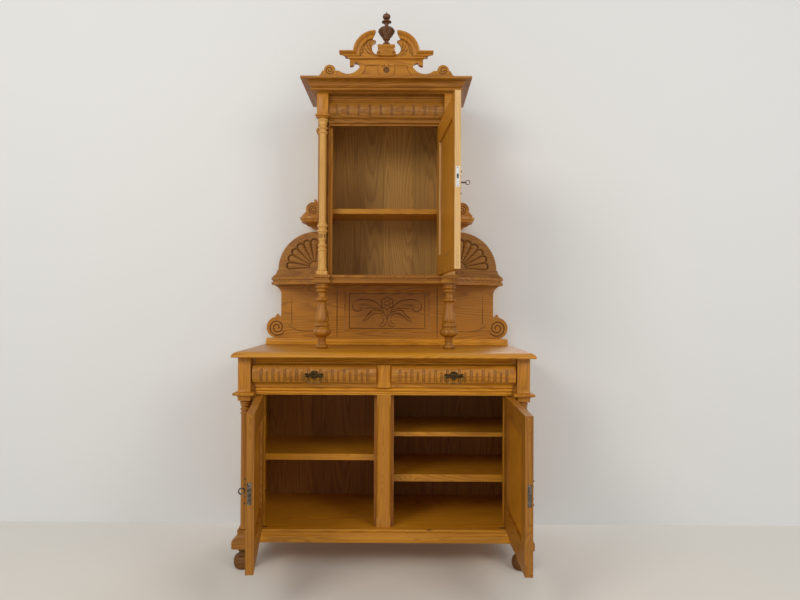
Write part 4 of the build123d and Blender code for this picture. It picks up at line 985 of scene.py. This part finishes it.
pedestal = wood["pedestal"]
curls = both_sides([spiral(32, 2108, 6.5, 1.5, 1.5, 2.6, 90)])
carve(pedestal, gouge(curls, flat_face(96.0), line_depth), wax_and_shade_lining)
scrolls = both_sides(
    [
        tapered([(14, 2114), (13, 2108), (16, 2101)], 2.4),
        tapered([(5, 2114), (5, 2107), (5, 2101)], 2.4),
    ]
)
scrolls.append(tapered([(-22, 2118), (0, 2118), (22, 2118)], 2.4))
tool = gouge(scrolls, flat_face(100.0), line_depth)
print("pedestal:", carve(pedestal, tool, wax_and_shade_lining), "faces")

# %% [markdown]
# ## Turned work
# The urn carries thin rings that a lathe tool cut, and the cups of the upper columns have upright
# flutes all round. A ring is a small circle spun round the urn's axis. The flutes are one stroke
# that is copied round the column by the same spin operator.

# %% Rings of the urn
urn_axis = (0, 125)
urn_rings = ((2213, 35.3, 3), (2201, 32.4, 4), (2193, 26.9, 4), (2185, 21.2, 4))


def ring_cuts(x, y, rings):
    """Round grooves of (z, radius, width) about an upright axis."""
    tool = bmesh.new()
    for z, radius, width in rings:
        made = bmesh.ops.create_circle(tool, segments=8, radius=width / 2 * mm)
        bmesh.ops.rotate(tool, verts=made["verts"], matrix=Matrix.Rotation(pi / 2, 3, "X"))
        bmesh.ops.translate(tool, verts=made["verts"], vec=((x + radius) * mm, y * mm, z * mm))
    bmesh.ops.spin(
        tool,
        geom=tool.verts[:] + tool.edges[:],
        cent=(x * mm, y * mm, 0),
        axis=(0, 0, 1),
        angle=2 * pi,
        steps=48,
        use_merge=True,
    )
    bmesh.ops.recalc_face_normals(tool, faces=tool.faces)
    return tool


tool = ring_cuts(*urn_axis, urn_rings)
print("urn:", carve(wood["urn"], tool, pine("walnut", "X")), "faces")

# %% Fluted cups of the columns
column_x, column_y = 272, 165
cup_low, cup_high = 1320, 1345
cup_radius = 12.5  # at its foot
cup_flare = 0.18  # how much wider per mm of height


def cup_face(z):
    """Front of the column's cup, seen from the column's axis."""
    return -(cup_radius + (min(max(z, cup_low), cup_high) - cup_low) * cup_flare)


cup_stroke = [(0, 1322, 1.5), (0, 1328, 4), (0, 1342, 5), (0, 1350, 5), (0, 1354, 1.5)]
cup_flutes = 11
tool = gouge([cup_stroke], cup_face, 0.6)
bmesh.ops.spin(
    tool,
    geom=tool.faces[:],
    cent=(0, 0, 0),
    axis=(0, 0, 1),
    angle=2 * pi * (cup_flutes - 1) / cup_flutes,
    steps=cup_flutes - 1,
    use_duplicate=True,
)
bmesh.ops.translate(tool, verts=tool.verts, vec=(-column_x * mm, column_y * mm, 0))
other = bmesh.ops.duplicate(tool, geom=tool.faces[:])["geom"]
bmesh.ops.translate(tool, verts=verts_of(other), vec=(2 * column_x * mm, 0, 0))
print("columns:", carve(wood["upper_columns"], tool, wax_and_shade_lining), "faces")

# %% [markdown]
# ## Ironwork
# The lock plates and the knife pivots are held by slotted screws, and the drawer handles are thin
# castings with a keyhole and some veins in their leaves. A door's ironwork is drawn as if the door
# was shut and its pivot at the origin, then swung and moved with the door's own matrix.

# %% The head of a screw
head_radius = 2.5 * mm
head_height = 0.4 * mm
head_slot = 0.7 * mm
slot_depth = 0.25 * mm
screw_sunk = 0.35  # mm: countersunk almost flush with the lock plate


def screw_head():
    """Slotted head that stands on z = 0."""
    head = bmesh.new()
    bmesh.ops.create_cone(
        head,
        cap_ends=True,
        segments=16,
        radius1=head_radius,
        radius2=head_radius * 0.85,
        depth=head_height,
    )
    bmesh.ops.translate(head, verts=head.verts, vec=(0, 0, head_height / 2))
    top = max(head.faces, key=lambda face: face.calc_center_median().z)
    bmesh.ops.inset_region(head, faces=[top], thickness=0.25 * mm, use_even_offset=True)
    for shift in (-head_slot / 2, head_slot / 2):
        bmesh.ops.bisect_plane(
            head,
            geom=head.verts[:] + head.edges[:] + head.faces[:],
            plane_co=(shift, 0, 0),
            plane_no=(1, 0, 0),
        )
    slot = [
        face
        for face in head.faces
        if face.normal.z > 0.9
        and abs(face.calc_center_median().x) < head_slot / 2
        and abs(face.calc_center_median().y) < head_radius / 2
    ]
    grown = bmesh.ops.extrude_face_region(head, geom=slot)["geom"]
    bmesh.ops.translate(head, verts=verts_of(grown), vec=(0, 0, -slot_depth))
    bmesh.ops.delete(head, geom=slot, context="FACES_ONLY")
    return head


def screws(name, places, body, material):
    """Screw heads in one piece; places are matrices that carry a head to its seat."""
    joined = bmesh.new()
    head = bpy.data.meshes.new("head")
    one = screw_head()
    one.to_mesh(head)
    one.free()
    for place in places:
        before = len(joined.verts)
        joined.from_mesh(head)
        joined.verts.ensure_lookup_table()
        bmesh.ops.transform(joined, matrix=place, verts=joined.verts[before:])
    made = finish_mesh(joined, name, [material])
    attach(made, body)
    return made


print("screws are", round(2 * head_radius / mm, 1), "mm wide")

# %% Screws of the locks and the pivots
for name, door in DOORS.items():
    outwards = Matrix.Rotation(door.hand * pi / 2, 4, "Y")
    low, high = door.plate
    seats = [
        door_matrix(door)
        @ Matrix.Translation((door.hand * (door.width - screw_sunk) * mm, 0, z * mm))
        @ outwards
        @ Matrix.Rotation(radians(turn), 4, "Z")
        for z, turn in ((low + 5, 20), (high - 5, 75))
    ]
    # the upper door's screws are dark iron, which also paints the shade at the ends of its nickel
    # plate
    metal = dark_iron if name == "upper_door" else bright_steel
    screws(f"{name}_lock_screws", seats, body_of[f"{name}_lock"], metal)

PIVOTS = (  # x, y, way inwards, floor and ceiling in mm
    (-503, 12, 1, (153.5, 687.5)),
    (503, 12, -1, (153.5, 687.5)),
    (233, 183, -1, (1178, 1822)),
)
over = Matrix.Rotation(pi, 4, "X")
seats = []
for x, y, inwards, levels in PIVOTS:
    for along in (13, 26):
        for level, facing in zip(levels, (Matrix(), over)):
            place = Matrix.Translation(((x + inwards * along) * mm, y * mm, level * mm))
            seats.append(place @ facing @ Matrix.Rotation(radians(30 * along), 4, "Z"))
screws("pivot_screws", seats, body_of["frame_pivots"], bright_steel)
print("screws:", 2 * len(DOORS) + len(seats))

# %% Castings of the drawers
cast_edge = 0.3 * mm
plate_face = flat_face(-28.6)
plate_middle = 278.25
VEINS = (  # on which sides, and their (out, z) points
    ((-1, 0, 1), ((5, 776), (9, 781), (10, 785))),
    ((-1, 1), ((8, 772), (16, 775), (24, 774))),
    ((-1, 1), ((8, 765), (16, 762), (22, 764))),
)


def cast_from(node, material):
    """Metal copy of a CAD node with softened edges, which it stands for."""
    mesh = merged_copy(node)
    soften(mesh, cast_edge)
    return stand_for(mesh, node, f"{node}_casting", [material])


for side, name in ((-1, "left"), (1, "right")):
    plate = cast_from(f"{name}_drawer_plate", dark_bronze)
    x = side * plate_middle
    veins = [
        tapered([(x + turn * out, z) for out, z in points], 1.8)
        for turns, points in VEINS
        for turn in turns
    ]
    carve(plate, gouge(veins, plate_face, 0.7), dark_bronze)
    keyhole = [[(x, 762, 2.2), (x, 768, 2.4), (x, 770, 5), (x, 773, 5), (x, 774.5, 1)]]
    print(name, "plate:", carve(plate, gouge(keyhole, plate_face, 0.9), dark_bronze), "faces")

# %% Escutcheons of the doors
keyhole_inset = 28  # from a door's free edge
scroll_line = ((9, 8), (11, 16), (5, 27))  # out and up from the keyhole
for name, door in DOORS.items():
    casting = cast_from(f"{name}_escutcheon", dark_bronze)
    x = door.hand * (door.width - keyhole_inset)
    height, face = door.escutcheon
    scrolls = [
        tapered([(x + turn * out, height + way * up) for out, up in scroll_line], 1.6)
        for turn in (-1, 1)
        for way in (-1, 1)
    ]
    tool = gouge(scrolls, flat_face(face), 0.7)
    bmesh.ops.transform(tool, matrix=door_matrix(door), verts=tool.verts)
    print(name, "escutcheon:", carve(casting, tool, dark_bronze), "faces")

# %% [markdown]
# ## Studio
# A plain pale floor and a pale wall stand for the room. The wall shows only to the camera and only
# from the front, so that it takes the buffet's soft shadows but never stands in the way of another
# view. Broad lamps and an even sky light the wood at a plain level.

# %% Floor and wall
sheet_size = 14.0  # metres
wall_gap = 30 * mm  # behind the buffet


def plain_sheet(name, colour, place, tilt=0.0):
    """Large flat sheet for the floor or the wall."""
    mesh = bmesh.new()
    bmesh.ops.create_grid(mesh, x_segments=1, y_segments=1, size=sheet_size / 2)
    bmesh.ops.rotate(mesh, verts=mesh.verts, matrix=Matrix.Rotation(tilt, 3, "X"))
    bmesh.ops.translate(mesh, verts=mesh.verts, vec=place)
    material, output = new_material(name + "_paint")
    surface = add_node(
        material,
        "ShaderNodeBsdfPrincipled",
        values={"Base Color": linear(colour), "Roughness": 0.7, "Specular IOR Level": 0.2},
    )
    material.node_tree.links.new(surface.outputs["BSDF"], output.inputs["Surface"])
    finish_mesh(mesh, name, [material])
    return material, surface, output


plain_sheet("studio_floor", "#DCD8D0", (0, 0, 0))
wall_face = cad_box[1].y + wall_gap
wall_paint, wall_surface, wall_output = plain_sheet(
    "studio_wall", "#E5E7E8", (0, wall_face, sheet_size / 2), pi / 2
)
facing = add_node(wall_paint, "ShaderNodeNewGeometry").outputs["Backfacing"]
ray = add_node(wall_paint, "ShaderNodeLightPath").outputs["Is Camera Ray"]
front_only = add_node(
    wall_paint, "ShaderNodeMath", {1: facing}, {0: 1.0}, operation="SUBTRACT"
).outputs["Value"]
shown = add_node(
    wall_paint, "ShaderNodeMath", {0: front_only, 1: ray}, operation="MULTIPLY"
).outputs["Value"]
clear = add_node(wall_paint, "ShaderNodeBsdfTransparent").outputs["BSDF"]
paint = wall_surface.outputs["BSDF"]
mix = add_node(wall_paint, "ShaderNodeMixShader", {"Fac": shown, 1: clear, 2: paint})
wall_paint.node_tree.links.new(mix.outputs["Shader"], wall_output.inputs["Surface"])
print("wall at", round(wall_face, 3))

# %% Light
LAMPS = (  # name, place, aim, size in metres, watts, colour
    ("lamp_front_left", (-2.4, -3.2, 3.0), (0, 0, 1.2), 1.6, 62, "#FFF6E8"),
    ("lamp_front_right", (2.6, -3.0, 2.6), (0, 0, 1.1), 1.6, 42, "#FFF8EE"),
    ("lamp_rear", (0.6, 3.4, 3.2), (0, 0, 1.2), 2.0, 40, "#FFFFFF"),
)
sky_strength = 0.62
scene = bpy.context.scene
world = bpy.data.worlds.new("studio_sky")
world.use_nodes = True
scene.world = world
sky = world.node_tree.nodes["Background"]
sky.inputs["Color"].default_value = linear("#F2F4F6")
sky.inputs["Strength"].default_value = sky_strength


def soft_lamp(name, place, aim, size, power, colour):
    """Square soft box at place that looks at aim."""
    data = bpy.data.lights.new(name, "AREA")
    data.shape = "SQUARE"
    data.size = size
    data.energy = power
    data.color = linear(colour)[:3]
    lamp = bpy.data.objects.new(name, data)
    lamp.location = place
    lamp.rotation_euler = (Vector(aim) - Vector(place)).to_track_quat("-Z", "Y").to_euler()
    scene.collection.objects.link(lamp)


for lamp in LAMPS:
    soft_lamp(*lamp)
scene.view_settings.view_transform = "Standard"
print("lamps:", [lamp[0] for lamp in LAMPS])

# %% Camera
sensor = 36.0  # mm
distance_in_widths = 633.0 / 800  # from the lens to the picture plane, in widths of the picture
camera_data = bpy.data.cameras.new("camera")
camera_data.lens = distance_in_widths * sensor
camera_data.sensor_width = sensor
camera_data.dof.use_dof = False
camera = bpy.data.objects.new("camera", camera_data)
camera.location = (72 * mm, -2550 * mm, 1046 * mm)
pan, pitch, roll = radians(0.21), radians(0.54), radians(0.27)
aim = Matrix.Rotation(pan, 3, "Z") @ Matrix.Rotation(pi / 2 + pitch, 3, "X")
camera.rotation_euler = (aim @ Matrix.Rotation(roll, 3, "Z")).to_euler()
scene.collection.objects.link(camera)
scene.camera = camera
print("camera at", tuple(round(v, 3) for v in camera.location), "lens", round(camera_data.lens, 2))
